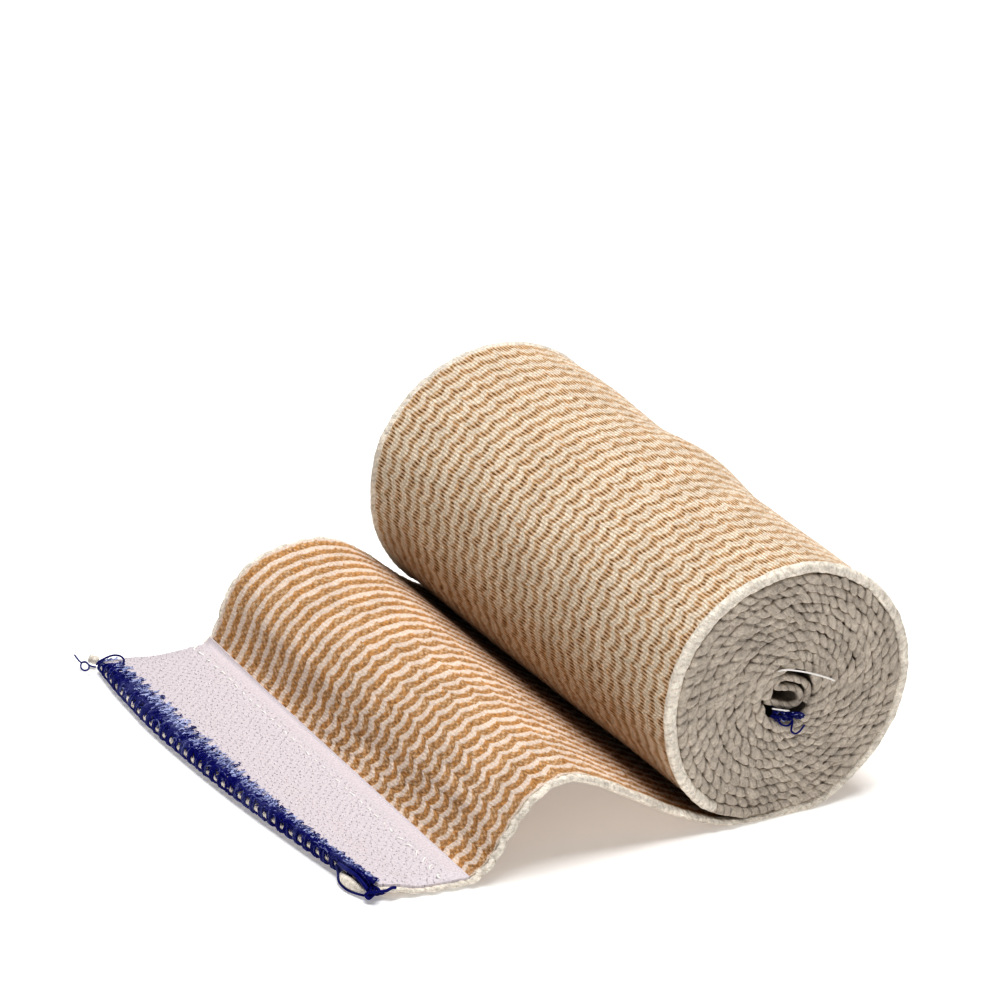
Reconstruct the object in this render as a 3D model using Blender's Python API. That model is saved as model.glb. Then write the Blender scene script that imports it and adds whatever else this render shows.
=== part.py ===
"""Crepe bandage roll: a woven elastic bandage, wound on itself, with its free end lying loose in a hump.

The pieces are the wound roll, the loose end of the cloth, the inner end folded back and forth in the
core, the closure strip sewn on the loose end, and the overlock stitching round both cut ends.
The roll lies on its side along Y, its near end at -Y, and the loose end runs out towards -X.
Metres, +Z up. The origin is the middle of the whole object's footprint, on the surface it rests on.
"""

import math

import bmesh
import bpy
from mathutils import Vector

MM = 0.001

# Driving dimensions
CLOTH_WIDTH = 100.0 * MM
OUTER_RADIUS = 23.4 * MM
LAYER_PITCH = 1.66 * MM
TURNS = 10.75
SAG = 0.8 * MM
PIECE_GAP = 0.31 * MM
CORE_CLOTH = 1.05 * MM
STRIP_START = 56.6 * MM
STRIP_THICKNESS = 1.0 * MM
STRIP_SHARE_OF_WIDTH = 0.972
STITCH_SHELL = 0.45 * MM
STITCH_DEPTH_NEAR = 2.4 * MM
STITCH_DEPTH_FAR = 5.0 * MM
STITCH_DEPTH_UNDER = 2.2 * MM
CORE_STITCH_THICKNESS = 0.8 * MM
CORE_STITCH_ANGLES = (243.0, 300.0)

# Places in the object's frame
ROLL_AXIS_X = 27.56 * MM
ROLL_AXIS_Z = OUTER_RADIUS - SAG
HALF_WIDTH = CLOTH_WIDTH / 2.0

# How finely the shapes are divided
STEPS_PER_TURN = 44
WALL_ROWS = 20
TAIL_ROWS = 16
TAIL_STEPS_PER_SECTION = 3
FOLD_STEPS_PER_POINT = 2
CORE_STITCH_STEPS = 6

# How the wound cloth departs from a plain spiral
EDGE_GROOVE = 0.7 * MM
END_STAGGER = 0.35 * MM
STAGGER_PER_TURN = 2.1
STAGGER_CHANGE_PER_TURN = 0.9
STAGGER_START = 0.6
CORE_INSET = 1.0 * MM
SIDE_SPREAD = 0.015
SWELL_FADE_POWER = 1.6
SAG_FADE_LAYERS = 4.0

# How far the outer turn stands off a plain spiral, in mm. A row for each direction seen from the near
# end (degrees, 0 is +X, 90 is up); a column for each place along the roll, given in SWELL_PLACES.
SWELL_PLACES = (-50.0, -30.0, -15.0, 3.0, 16.0, 38.0, 50.0)
SWELL = (
    # angle, near, near_mid, below_kink, kink, dip, shoulder, far
    (-90.0, 0.0, 0.0, 0.0, 0.0, 0.0, 0.0, 0.0),
    (-50.0, -0.5, -0.4, -0.3, 0.1, 0.2, 0.4, 0.4),
    (0.0, 0.0, 0.1, 0.2, 1.0, 0.8, 1.0, 0.9),
    (52.0, -0.3, 0.1, 0.4, 2.4, 1.4, 2.4, 2.3),
    (90.0, 0.2, 0.3, 0.6, 1.7, 1.5, 2.4, 2.4),
    (150.0, 1.5, 1.5, 1.6, 1.9, 2.0, 2.4, 2.3),
    (180.0, 1.2, 1.3, 1.4, 1.5, 1.5, 1.5, 1.4),
    (227.0, 1.6, 1.6, 1.6, 1.6, 1.6, 1.4, 1.0),
    (248.0, 0.6, 0.6, 0.6, 0.6, 0.6, 0.4, 0.3),
    (270.0, 0.0, 0.0, 0.0, 0.0, 0.0, 0.0, 0.0),
)

# The loose end's underside from the roll to its free edge, in mm from the roll's axis and above the
# surface, at the near and the far edge of the cloth, with the cloth's thickness and half widths.
TAIL_SECTIONS = (
    # name, near x, near z, far x, far z, thickness, near half width, far half width
    ("step", -0.4, 0.0, -0.4, 0.0, 1.25, 50.0, 50.0),
    ("pressed", -7.0, 0.0, -6.0, 0.0, 1.25, 49.8, 50.0),
    ("leaving", -12.7, 0.8, -11.8, 0.8, 1.35, 49.4, 49.8),
    ("low_slope", -20.6, 4.2, -18.8, 4.9, 1.5, 49.0, 49.5),
    ("slope", -28.5, 8.8, -25.2, 10.3, 1.5, 48.9, 49.5),
    ("high_slope", -36.2, 13.3, -31.5, 14.3, 1.5, 48.9, 49.5),
    ("crest", -42.0, 15.1, -38.0, 15.4, 1.5, 48.9, 49.3),
    ("brow", -47.0, 13.0, -45.6, 14.2, 1.5, 48.7, 49.0),
    ("wall", -50.8, 8.4, -50.8, 10.2, 1.5, 48.5, 48.7),
    ("foot", -53.9, 3.4, -53.4, 4.2, 1.5, 48.2, 48.4),
    ("toe", -57.6, 0.35, -56.2, 0.4, 1.4, 47.8, 48.2),
    ("flat", -61.5, 0.0, -60.5, 0.0, 1.2, 47.3, 48.0),
    ("strip_middle", -67.0, 0.0, -67.0, 0.0, 1.1, 46.4, 48.0),
    ("edge_rise", -70.6, 0.8, -72.6, 0.74, 1.05, 45.6, 48.2),
    ("stitch_line", -72.6, 1.1, -74.9, 0.78, 1.0, 45.0, 48.4),
    ("free_edge", -74.4, 1.3, -77.0, 0.78, 1.0, 44.5, 48.6),
)
FREE_EDGE_BOW = 2.8 * MM
BOW_START = 0.75

# The inner end's middle line in the core, in mm from the roll's axis: it leaves the last turn at the
# left, passes under, doubles back twice and ends flat under its own folds.
CORE_FOLD = (
    # x, z
    (-4.66, -0.56),
    (-4.12, -1.72),
    (-2.5, -2.52),
    (-0.4, -2.6),
    (1.25, -2.3),
    (2.1, -1.4),
    (1.8, -0.45),
    (0.1, 0.0),
    (-1.9, 0.35),
    (-2.85, 1.25),
    (-2.1, 2.15),
    (-0.2, 2.1),
    (1.6, 1.75),
    (3.0, 0.95),
    (3.7, -0.4),
    (3.55, -1.85),
    (2.9, -2.78),
)

CLOTH_COLOUR = (0.80, 0.62, 0.40, 1.0)
INNER_FACE_COLOUR = (0.66, 0.42, 0.20, 1.0)
EDGE_COLOUR = (0.55, 0.48, 0.38, 1.0)
STRIP_COLOUR = (0.78, 0.70, 0.76, 1.0)
THREAD_COLOUR = (0.02, 0.04, 0.30, 1.0)


def clear_scene():
    """Remove every object of the open scene."""
    for thing in list(bpy.data.objects):
        bpy.data.objects.remove(thing, do_unlink=True)


def make_material(name, colour, roughness):
    """A plain cloth or thread material."""
    material = bpy.data.materials.new(name)
    material.use_nodes = True
    shader = material.node_tree.nodes["Principled BSDF"]
    shader.inputs["Base Color"].default_value = colour
    shader.inputs["Roughness"].default_value = roughness
    shader.inputs["Metallic"].default_value = 0.0
    return material


def make_object(name, mesh_builder, material):
    """Turn a filled bmesh into a named object, smooth but for its sharp edges."""
    bmesh.ops.recalc_face_normals(mesh_builder, faces=mesh_builder.faces[:])
    mesh = bpy.data.meshes.new(name)
    mesh_builder.to_mesh(mesh)
    mesh_builder.free()
    mesh.shade_smooth()
    mesh.set_sharp_from_angle(angle=math.radians(50.0))
    mesh.materials.append(material)
    thing = bpy.data.objects.new(name, mesh)
    bpy.context.collection.objects.link(thing)
    return thing


def ease(share):
    """Smooth step from 0 to 1."""
    share = min(max(share, 0.0), 1.0)
    return share * share * (3.0 - 2.0 * share)


def table_value(places, values, at):
    """Read a value between the named places of a table, eased from one to the next."""
    if at <= places[0]:
        return values[0]
    for low in range(len(places) - 1):
        if at <= places[low + 1]:
            share = ease((at - places[low]) / (places[low + 1] - places[low]))
            return values[low] + (values[low + 1] - values[low]) * share
    return values[-1]


def smooth_line(points, steps):
    """Points along a Catmull-Rom curve through the given ones, each a tuple of any length."""
    line = []
    last = len(points) - 1
    for i in range(last):
        before = points[max(i - 1, 0)]
        start = points[i]
        end = points[i + 1]
        after = points[min(i + 2, last)]
        for step in range(steps):
            t = step / steps
            line.append(tuple(
                0.5 * (2.0 * b + (c - a) * t + (2.0 * a - 5.0 * b + 4.0 * c - d) * t * t
                       + (3.0 * b - a - 3.0 * c + d) * t * t * t)
                for a, b, c, d in zip(before, start, end, after)))
    line.append(tuple(points[last]))
    return line


# ---------------------------------------------------------------- the wound roll

def swell_at(angle_deg, y):
    """How far the outer turn stands off the plain spiral at a direction and a place along Y."""
    angles = [row[0] for row in SWELL]
    along = [table_value(SWELL_PLACES, row[1:], y / MM) for row in SWELL]
    return table_value(angles, along, angle_deg) * MM


def spiral_point(turn, y, inward=0.0):
    """A point of the wound cloth's outer face, `turn` turns in from the outer step, seen along Y."""
    angle = math.radians(-90.0) + turn * 2.0 * math.pi
    radius = OUTER_RADIUS - LAYER_PITCH * turn - inward
    core_radius = OUTER_RADIUS - LAYER_PITCH * (TURNS + 1.0)
    depth_share = max(0.0, (radius - core_radius) / (OUTER_RADIUS - core_radius))
    direction = (math.degrees(angle) + 90.0) % 360.0 - 90.0
    radius += swell_at(direction, y) * depth_share ** SWELL_FADE_POWER
    x = radius * math.cos(angle) * (1.0 + SIDE_SPREAD * depth_share)
    z = ROLL_AXIS_Z + radius * math.sin(angle)
    layers_below = round(turn)
    given_way = SAG * (1.0 - math.exp(-(layers_below / SAG_FADE_LAYERS) ** 2))
    floor = layers_below * LAYER_PITCH + inward - given_way
    return x + ROLL_AXIS_X, max(z, floor)


def end_offset(turn, ridge):
    """How far a turn's edge stands in from the cut width: grooves between turns, uneven winding."""
    change = math.cos(turn * STAGGER_CHANGE_PER_TURN + STAGGER_START)
    offset = END_STAGGER * (0.5 + 0.5 * math.sin(turn * STAGGER_PER_TURN) * change)
    if not ridge:
        offset += EDGE_GROOVE
    return offset


def build_roll(material):
    """The wound cloth as one solid: spiral outside, open core, a ridge for each turn on both ends."""
    steps = round(TURNS * STEPS_PER_TURN)
    roll = bmesh.new()
    rows = [-HALF_WIDTH + CLOTH_WIDTH * r / WALL_ROWS for r in range(WALL_ROWS + 1)]

    def groove_vertex(step, y):
        turn = step / STEPS_PER_TURN
        x, z = spiral_point(turn, y)
        return roll.verts.new((x, y, z))

    def ridge_vertex(step, y):
        turn = step / STEPS_PER_TURN
        x, z = spiral_point(turn, y, LAYER_PITCH / 2.0)
        return roll.verts.new((x, y, z))

    ends = {}
    for side in (-1, 1):
        grooves = []
        for step in range(steps + STEPS_PER_TURN + 1):
            is_outer = step < STEPS_PER_TURN
            offset = end_offset(step / STEPS_PER_TURN, is_outer)
            grooves.append(groove_vertex(step, side * (HALF_WIDTH - offset)))
        ridges = []
        for step in range(steps + 1):
            offset = end_offset(step / STEPS_PER_TURN, True)
            ridges.append(ridge_vertex(step, side * (HALF_WIDTH - offset)))
        for step in range(steps):
            inner = step + STEPS_PER_TURN
            roll.faces.new((grooves[step], grooves[step + 1], ridges[step + 1], ridges[step]))
            roll.faces.new((ridges[step], ridges[step + 1], grooves[inner + 1], grooves[inner]))
        ends[side] = (grooves, ridges)

    def wall(first, last, point, line):
        """A grid of faces along Y between the two ends, over a run of spiral steps."""
        grid = []
        for step in range(first, last + 1):
            column = [ends[-1][line][step]]
            column += [point(step, y) for y in rows[1:-1]]
            column.append(ends[1][line][step])
            grid.append(column)
        for left, right in zip(grid, grid[1:]):
            for r in range(WALL_ROWS):
                roll.faces.new((left[r], right[r], right[r + 1], left[r + 1]))
        return grid

    outer = wall(0, STEPS_PER_TURN, groove_vertex, 0)
    inner = wall(steps, steps + STEPS_PER_TURN, groove_vertex, 0)
    outer_middle = wall(0, 0, ridge_vertex, 1)[0]
    inner_middle = wall(steps, steps, ridge_vertex, 1)[0]
    for outside, middle, inside in (
            (outer[0], outer_middle, outer[-1]), (inner[0], inner_middle, inner[-1])):
        for r in range(WALL_ROWS):
            roll.faces.new((outside[r], outside[r + 1], middle[r + 1], middle[r]))
            roll.faces.new((middle[r], middle[r + 1], inside[r + 1], inside[r]))
    return make_object("roll", roll, material)


# ---------------------------------------------------------------- sheets along a line

def closed_strip(name, sections, material):
    """A closed solid lofted through rings of points, all with the same count, capped at both ends."""
    strip = bmesh.new()
    rings = [[strip.verts.new(point) for point in section] for section in sections]
    count = len(rings[0])
    for ring, following in zip(rings, rings[1:]):
        for i in range(count):
            j = (i + 1) % count
            strip.faces.new((ring[i], ring[j], following[j], following[i]))
    half = count // 2
    for ring in (rings[0], rings[-1]):
        for i in range(half - 1):
            strip.faces.new((ring[i], ring[i + 1], ring[count - 2 - i], ring[count - 1 - i]))
    return make_object(name, strip, material)


def tail_sections():
    """The loose end's sections in metres, smoothed: near x, near z, far x, far z, thickness, widths."""
    numbers = [tuple(value * MM for value in row[1:]) for row in TAIL_SECTIONS]
    return smooth_line(numbers, TAIL_STEPS_PER_SECTION)


def tail_line(across):
    """The underside of the loose end at a share across the cloth (0 near, 1 far) as x, y, z, thick."""
    line = []
    share = ease(across) * 0.5 + across * 0.5
    count = len(tail_sections()) - 1
    for number, section in enumerate(tail_sections()):
        near_x, near_z, far_x, far_z, thick, near_half, far_half = section
        x = near_x + (far_x - near_x) * share
        z = near_z + (far_z - near_z) * share
        y = -near_half + (near_half + far_half) * across
        end_share = max(0.0, (number / count - BOW_START) / (1.0 - BOW_START))
        x -= FREE_EDGE_BOW * end_share * math.sin(math.pi * across)
        line.append((x + ROLL_AXIS_X, y, max(z, 0.0), thick))
    return line


def tail_frame(line):
    """The line's points with the unit normal of the sheet in the XZ plane at each."""
    framed = []
    for i, (x, y, z, thick) in enumerate(line):
        ahead = line[min(i + 1, len(line) - 1)]
        behind = line[max(i - 1, 0)]
        run = Vector((ahead[0] - behind[0], 0.0, ahead[2] - behind[2])).normalized()
        normal = Vector((run.z, 0.0, -run.x))
        framed.append((Vector((x, y, z)), normal, thick))
    return framed


def tail_rows():
    """Framed lines of the loose end, one for each row across the cloth."""
    return [tail_frame(tail_line(row / TAIL_ROWS)) for row in range(TAIL_ROWS + 1)]


def build_loose_end(material):
    """The cloth between the roll and its free edge, as it lies."""
    sections = []
    for framed in tail_rows():
        under = [point for point, normal, thick in framed]
        over = [point + normal * thick for point, normal, thick in framed]
        sections.append(under + over[::-1])
    return closed_strip("loose_end", sections, material)


def build_hook_strip(material):
    """The closure strip sewn on the inner face of the loose end, inside the cloth's two edges."""
    rows = tail_rows()
    start_x = ROLL_AXIS_X - STRIP_START
    kept = min(sum(1 for point, normal, thick in framed if point.x <= start_x) for framed in rows)
    sections = []
    for framed in rows:
        under = []
        over = []
        for point, normal, thick in framed[-kept:]:
            on_cloth = Vector((point.x, point.y * STRIP_SHARE_OF_WIDTH, point.z))
            on_cloth += normal * (thick + PIECE_GAP)
            under.append(on_cloth)
            over.append(on_cloth + normal * STRIP_THICKNESS)
        sections.append(under + over[::-1])
    return closed_strip("hook_strip", sections, material)


def build_edge_stitching(material):
    """The overlock stitching that wraps the free edge of the cloth and of the strip on it."""
    sections = []
    for number, framed in enumerate(tail_rows()):
        edge = framed[-1][0]
        depth = STITCH_DEPTH_NEAR + (STITCH_DEPTH_FAR - STITCH_DEPTH_NEAR) * number / TAIL_ROWS
        reach = edge.x + depth + PIECE_GAP
        covered = [(point.z, thick) for point, normal, thick in framed if point.x <= reach]
        under = min(z for z, thick in covered) - PIECE_GAP
        cloth_top = max(z + thick for z, thick in covered)
        over = cloth_top + PIECE_GAP + STRIP_THICKNESS + PIECE_GAP
        bottom = max(under - STITCH_SHELL, 0.0)
        middle = (under + over) / 2.0
        outside = edge.x - PIECE_GAP
        inner_side = (
            (edge.x + STITCH_DEPTH_UNDER, under),
            (outside, under),
            (outside, middle),
            (outside, over),
            (edge.x + depth * 0.45, over),
            (edge.x + depth, over),
        )
        outer_side = (
            (edge.x + STITCH_DEPTH_UNDER, bottom),
            (outside - STITCH_SHELL * 0.5, bottom),
            (outside - STITCH_SHELL, middle),
            (outside - STITCH_SHELL * 0.4, over + STITCH_SHELL * 0.8),
            (edge.x + depth * 0.45, over + STITCH_SHELL * 1.2),
            (edge.x + depth, over + STITCH_SHELL * 0.8),
        )
        outline = inner_side + outer_side[::-1]
        sections.append([Vector((x, edge.y, z)) for x, z in outline])
    return closed_strip("edge_stitching", sections, material)


# ---------------------------------------------------------------- the inner end in the core

def offset_line(line, distance):
    """Both sides of a flat line of x, z points at half the given distance from it."""
    left = []
    right = []
    for i, point in enumerate(line):
        ahead = Vector(line[min(i + 1, len(line) - 1)])
        behind = Vector(line[max(i - 1, 0)])
        run = (ahead - behind).normalized()
        normal = Vector((-run.y, run.x))
        left.append(Vector(point) + normal * distance / 2.0)
        right.append(Vector(point) - normal * distance / 2.0)
    return left, right


def build_core_fold(material):
    """The inner end of the cloth, folded back and forth in the open core."""
    points = [(x * MM, z * MM) for x, z in CORE_FOLD]
    left, right = offset_line(smooth_line(points, FOLD_STEPS_PER_POINT), CORE_CLOTH)
    end = HALF_WIDTH - CORE_INSET
    places = (-end, -end / 2.0, 0.0, end / 2.0, end)
    sections = []
    for y in places:
        outline = left + right[::-1]
        sections.append([
            Vector((flat.x + ROLL_AXIS_X, y, flat.y + ROLL_AXIS_Z)) for flat in outline])
    return closed_strip("core_fold", sections, material)


def build_core_stitching(material):
    """The overlocked inner end: a band of thread along the bottom of the core, under the folds."""
    inner = []
    outer = []
    first, last = CORE_STITCH_ANGLES
    for step in range(CORE_STITCH_STEPS + 1):
        degrees = first + (last - first) * step / CORE_STITCH_STEPS
        angle = math.radians(degrees)
        core_radius = OUTER_RADIUS - LAYER_PITCH * (TURNS + (degrees - 180.0) / 360.0)
        far_side = core_radius - PIECE_GAP
        near_side = far_side - CORE_STITCH_THICKNESS
        inner.append((near_side * math.cos(angle), near_side * math.sin(angle)))
        outer.append((far_side * math.cos(angle), far_side * math.sin(angle)))
    outline = inner + outer[::-1]
    sections = []
    for y in (-HALF_WIDTH + CORE_INSET, 0.0, HALF_WIDTH - CORE_INSET):
        sections.append([Vector((x + ROLL_AXIS_X, y, z + ROLL_AXIS_Z)) for x, z in outline])
    return closed_strip("core_stitching", sections, material)


def main():
    """Build every piece of the bandage roll."""
    clear_scene()
    cloth = make_material("cloth_outer_face", CLOTH_COLOUR, 0.9)
    inner_face = make_material("cloth_inner_face", INNER_FACE_COLOUR, 0.9)
    edge = make_material("cloth_edge", EDGE_COLOUR, 0.95)
    strip = make_material("closure_strip", STRIP_COLOUR, 0.7)
    thread = make_material("overlock_thread", THREAD_COLOUR, 0.6)
    build_roll(cloth)
    build_loose_end(inner_face)
    build_hook_strip(strip)
    build_edge_stitching(thread)
    build_core_fold(edge)
    build_core_stitching(thread)


main()
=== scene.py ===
"""The look of the crepe bandage roll: woven cloth, selvedges, closure strip and overlock thread.

The cloth is one strip. It lies loose in a hump, passes under the roll, and winds inwards to a
folded end in the core. Lengths are in metres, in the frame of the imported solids: the roll's axis
along Y, its near end at -Y, the loose end towards -X.
"""

import math
from collections import namedtuple

import bmesh
import bpy
import numpy as np
from bpy.props import FloatProperty, FloatVectorProperty, IntProperty, PointerProperty
from mathutils import Matrix, Vector


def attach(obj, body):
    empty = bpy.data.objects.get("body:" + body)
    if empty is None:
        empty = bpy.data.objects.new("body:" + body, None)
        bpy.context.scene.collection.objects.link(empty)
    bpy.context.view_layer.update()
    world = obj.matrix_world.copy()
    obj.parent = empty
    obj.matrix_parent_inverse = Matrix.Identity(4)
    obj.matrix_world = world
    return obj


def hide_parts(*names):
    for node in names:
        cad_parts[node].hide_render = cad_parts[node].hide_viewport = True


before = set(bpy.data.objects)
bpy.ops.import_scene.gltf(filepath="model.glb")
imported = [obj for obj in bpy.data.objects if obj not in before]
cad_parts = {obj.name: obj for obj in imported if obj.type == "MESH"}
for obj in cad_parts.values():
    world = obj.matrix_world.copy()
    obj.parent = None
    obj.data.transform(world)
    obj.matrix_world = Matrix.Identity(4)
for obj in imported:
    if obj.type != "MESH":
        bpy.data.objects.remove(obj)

bl_info = {
    "name": "Crepe bandage roll",
    "version": (1, 0, 0),
    "blender": (4, 5, 0),
    "location": "View3D > Sidebar > Bandage",
    "description": "Builds a wound crepe bandage with its loose end, closure strip and overlock",
    "category": "Object",
}

MM = 0.001
FULL_TURN = 2.0 * math.pi

# The wound form, as the solids have it
CLOTH_WIDTH = 100.0 * MM
HALF_WIDTH = CLOTH_WIDTH / 2.0
OUTER_RADIUS = 23.4 * MM
LAYER_PITCH = 1.66 * MM
TURNS = 10.75
SAG = 0.8 * MM
SAG_FADE_LAYERS = 4.0
END_STAGGER = 0.35 * MM
STAGGER_PER_TURN = 2.1
STAGGER_CHANGE_PER_TURN = 0.9
STAGGER_START = 0.6
SIDE_SPREAD = 0.015
SWELL_FADE_POWER = 1.6
ROLL_AXIS_X = 27.56 * MM
ROLL_AXIS_Z = OUTER_RADIUS - SAG
CORE_CLOTH = 1.05 * MM

# How deep the wound cloth's faces lie under the plain spiral, and where the outer turn ends
OUTER_TURN_END = 1.03
OUTER_FACE_DEPTH = 0.12 * MM
OUTER_BACK_DEPTH = 1.25 * MM
INNER_FACE_DEPTH = 0.28 * MM
INNER_TURNS_GAP = 0.18 * MM
INNER_TURNS_INSET = 0.9 * MM

# How far the outer turn stands off a plain spiral, in mm: a row for each direction seen from the
# near end (degrees, 0 is +X, 90 is up), a column for each place along the roll in SWELL_PLACES.
SWELL_PLACES = (-50.0, -30.0, -15.0, 3.0, 16.0, 38.0, 50.0)
SWELL = (
    # angle, near, near_mid, below_kink, kink, dip, shoulder, far
    (-90.0, 0.0, 0.0, 0.0, 0.0, 0.0, 0.0, 0.0),
    (-50.0, -0.5, -0.4, -0.3, 0.1, 0.2, 0.4, 0.4),
    (0.0, 0.0, 0.1, 0.2, 1.0, 0.8, 1.0, 0.9),
    (52.0, -0.3, 0.1, 0.4, 2.4, 1.4, 2.4, 2.3),
    (90.0, 0.2, 0.3, 0.6, 1.7, 1.5, 2.4, 2.4),
    (150.0, 1.5, 1.5, 1.6, 1.9, 2.0, 2.4, 2.3),
    (180.0, 1.2, 1.3, 1.4, 1.5, 1.5, 1.5, 1.4),
    (227.0, 1.6, 1.6, 1.6, 1.6, 1.6, 1.4, 1.0),
    (248.0, 0.6, 0.6, 0.6, 0.6, 0.6, 0.4, 0.3),
    (270.0, 0.0, 0.0, 0.0, 0.0, 0.0, 0.0, 0.0),
)

# The loose end's underside from the roll to its free edge, in mm from the roll's axis and above
# the surface, at the near and the far edge of the cloth, with its thickness and half widths.
TAIL_SECTIONS = (
    # near x, near z, far x, far z, thickness, near half width, far half width
    (-0.4, 0.0, -0.4, 0.0, 1.25, 50.0, 50.0),
    (-7.0, 0.0, -6.0, 0.0, 1.25, 49.8, 50.0),
    (-12.7, 0.8, -11.8, 0.8, 1.35, 49.4, 49.8),
    (-20.6, 4.2, -18.8, 4.9, 1.5, 49.0, 49.5),
    (-28.5, 8.8, -25.2, 10.3, 1.5, 48.9, 49.5),
    (-36.2, 13.3, -31.5, 14.3, 1.5, 48.9, 49.5),
    (-42.0, 15.1, -38.0, 15.4, 1.5, 48.9, 49.3),
    (-47.0, 13.0, -45.6, 14.2, 1.5, 48.7, 49.0),
    (-50.8, 8.4, -50.8, 10.2, 1.5, 48.5, 48.7),
    (-53.9, 3.4, -53.4, 4.2, 1.5, 48.2, 48.4),
    (-57.6, 0.35, -56.2, 0.4, 1.4, 47.8, 48.2),
    (-61.5, 0.0, -60.5, 0.0, 1.2, 47.3, 48.0),
    (-67.0, 0.0, -67.0, 0.0, 1.1, 46.4, 48.0),
    (-70.6, 0.8, -72.6, 0.74, 1.05, 45.6, 48.2),
    (-72.6, 1.1, -74.9, 0.78, 1.0, 45.0, 48.4),
    (-74.4, 1.3, -77.0, 0.78, 1.0, 44.5, 48.6),
)
FREE_EDGE_BOW = 2.8 * MM
BOW_START = 0.75
TAIL_STEPS_PER_SECTION = 24

# The inner end's middle line in the core, in mm from the roll's axis.
CORE_FOLD = (
    (-4.66, -0.56), (-3.6, -1.05), (-2.5, -1.45), (-1.3, -2.1), (-0.1, -2.42), (1.3, -2.6),
    (2.35, -2.1), (2.6, -1.2), (2.15, -0.25), (1.1, 0.45), (-0.35, 0.95), (-1.7, 1.2),
    (-2.5, 1.6), (-2.6, 2.25), (-1.9, 2.85), (-0.9, 2.8), (0.5, 2.4), (2.47, 1.5), (3.6, 0.7),
    (4.1, -0.35), (3.95, -1.5), (3.32, -2.6),
)

# How finely the woven faces and the corded edges are divided
ROWS_PER_RIB = 3
COLUMNS_PER_STRIPE_ROLL = 4
COLUMNS_PER_STRIPE_LOOSE = 6
ROPE_SIDES = 12
ROPE_RINGS_PER_LUMP = 6
LUMP_SIZES = 4096
OUTER_TURN_STEPS = 1200
SELVEDGE_STEPS = 2400
STRIP_CLOTH_ROWS = 1200
FREE_EDGE_STEPS = 401
INNER_STEPS_PER_TURN = 56

# The weave repeats every few ribs, and its stripes are set a little wider towards the far edge.
RIBS_PER_REPEAT = 6
STRIPE_SPREAD = 0.054
STRIPE_FADE = 1.5 * MM
PEBBLES_PER_STRIPE = 4.5

# The closure strip: its inner edge, from the roll's axis, and how it lies on the cloth
STRIP_INNER_NEAR = 58.4 * MM
STRIP_INNER_FAR = 56.0 * MM
STRIP_LIFT = 0.08 * MM
STRIP_RISE = 0.9 * MM
STRIP_EDGE_RISE = 0.5 * MM
STRIP_EDGE_SLOPE = 2.6 * MM
STRIP_ROWS = 61
STRIP_COLUMNS = 197
STRIP_ROW_STEP = 5
STRIP_COLUMN_STEP = 7
HOOKS_WIDTH = 95.0 * MM
HOOKS_START = 3.7 * MM
HOOKS_MARGIN = 5.5 * MM
STITCH_LINE_MM = 4.5
STITCH_COUNT = 34

# The overlock along the free edge, in mm from the cloth's cut edge: how far the wraps stand out,
# how far in the dense chain reaches and how far in the fine loops reach.
OVERLOCK_SHARES = (0.0, 0.15, 0.3, 0.5, 0.75, 0.9, 1.0)
OVERLOCK_OUT = (0.35, 0.5, 0.6, 0.9, 1.4, 1.2, 0.7)
OVERLOCK_CHAIN = (0.3, 0.7, 1.1, 1.5, 1.6, 1.4, 0.9)
OVERLOCK_FUZZ = (1.0, 1.6, 2.5, 3.8, 4.1, 3.6, 3.1)
OVERLOCK_END = 5.0 * MM
OVERLOCK_END_DROP = 0.45
WRAPS_PER_STITCH = 8
CHAIN_STRANDS_PER_STITCH = 10
TEETH_PER_STITCH = 6
CURLS_PER_STITCH = 7
NAVY_TINTS = (0.0, 0.02, 0.06, 0.2)
LOOP_CRIMP = (0.05 * MM, 0.07 * MM, 0.03 * MM)

# Loose threads at the free edge's corners, in mm from the roll's axis, each with its radius:
# the far arch, the far ring, the near loop, its thick strand, the knot and the tail.
CORNER_THREADS = (
    (((-78.5, 47.6, 2.2), (-78.1, 47.3, 2.9), (-77.2, 47.3, 3.2), (-76.3, 47.5, 3.3),
      (-75.4, 47.5, 3.4), (-74.7, 47.2, 3.4), (-74.2, 46.7, 3.3), (-74.1, 45.7, 3.1),
      (-74.4, 45.3, 2.7)), 0.17),
    (((-78.6, 47.4, 1.9), (-79.0, 48.4, 1.7), (-79.0, 49.6, 1.5), (-78.9, 51.0, 1.4),
      (-79.6, 51.1, 1.3), (-80.5, 49.5, 1.3), (-80.5, 48.2, 1.3), (-79.7, 48.2, 1.4),
      (-79.1, 49.3, 1.6), (-79.2, 50.5, 1.6), (-79.8, 51.0, 1.5), (-79.6, 52.9, 1.4),
      (-79.3, 54.6, 1.3)), 0.15),
    (((-75.9, -34.6, 2.2), (-76.3, -36.0, 1.5), (-76.9, -37.5, 0.7), (-76.9, -40.1, 0.5),
      (-76.1, -42.4, 0.6), (-75.3, -44.3, 1.0), (-74.9, -45.0, 1.7)), 0.2),
    (((-75.6, -34.9, 2.6), (-75.9, -37.4, 2.9), (-75.5, -40.0, 2.9), (-75.4, -42.4, 2.6),
      (-75.3, -44.2, 2.0)), 0.36),
    (((-74.8, -42.6, 2.4), (-74.2, -43.7, 2.6), (-74.6, -44.9, 2.0), (-75.8, -44.4, 1.5),
      (-75.6, -45.1, 1.0), (-74.6, -45.3, 1.8), (-73.9, -45.2, 2.2), (-74.6, -44.2, 2.4),
      (-75.3, -44.9, 1.6)), 0.26),
    (((-75.5, -45.2, 2.0), (-74.4, -45.9, 2.3), (-73.3, -46.5, 2.5), (-72.2, -46.4, 2.7),
      (-71.4, -46.4, 2.6)), 0.26),
)
CORNER_NUB = ((-76.8, 50.1, 1.5), (-77.3, 50.5, 1.6), (-78.0, 51.5, 1.6))
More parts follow.
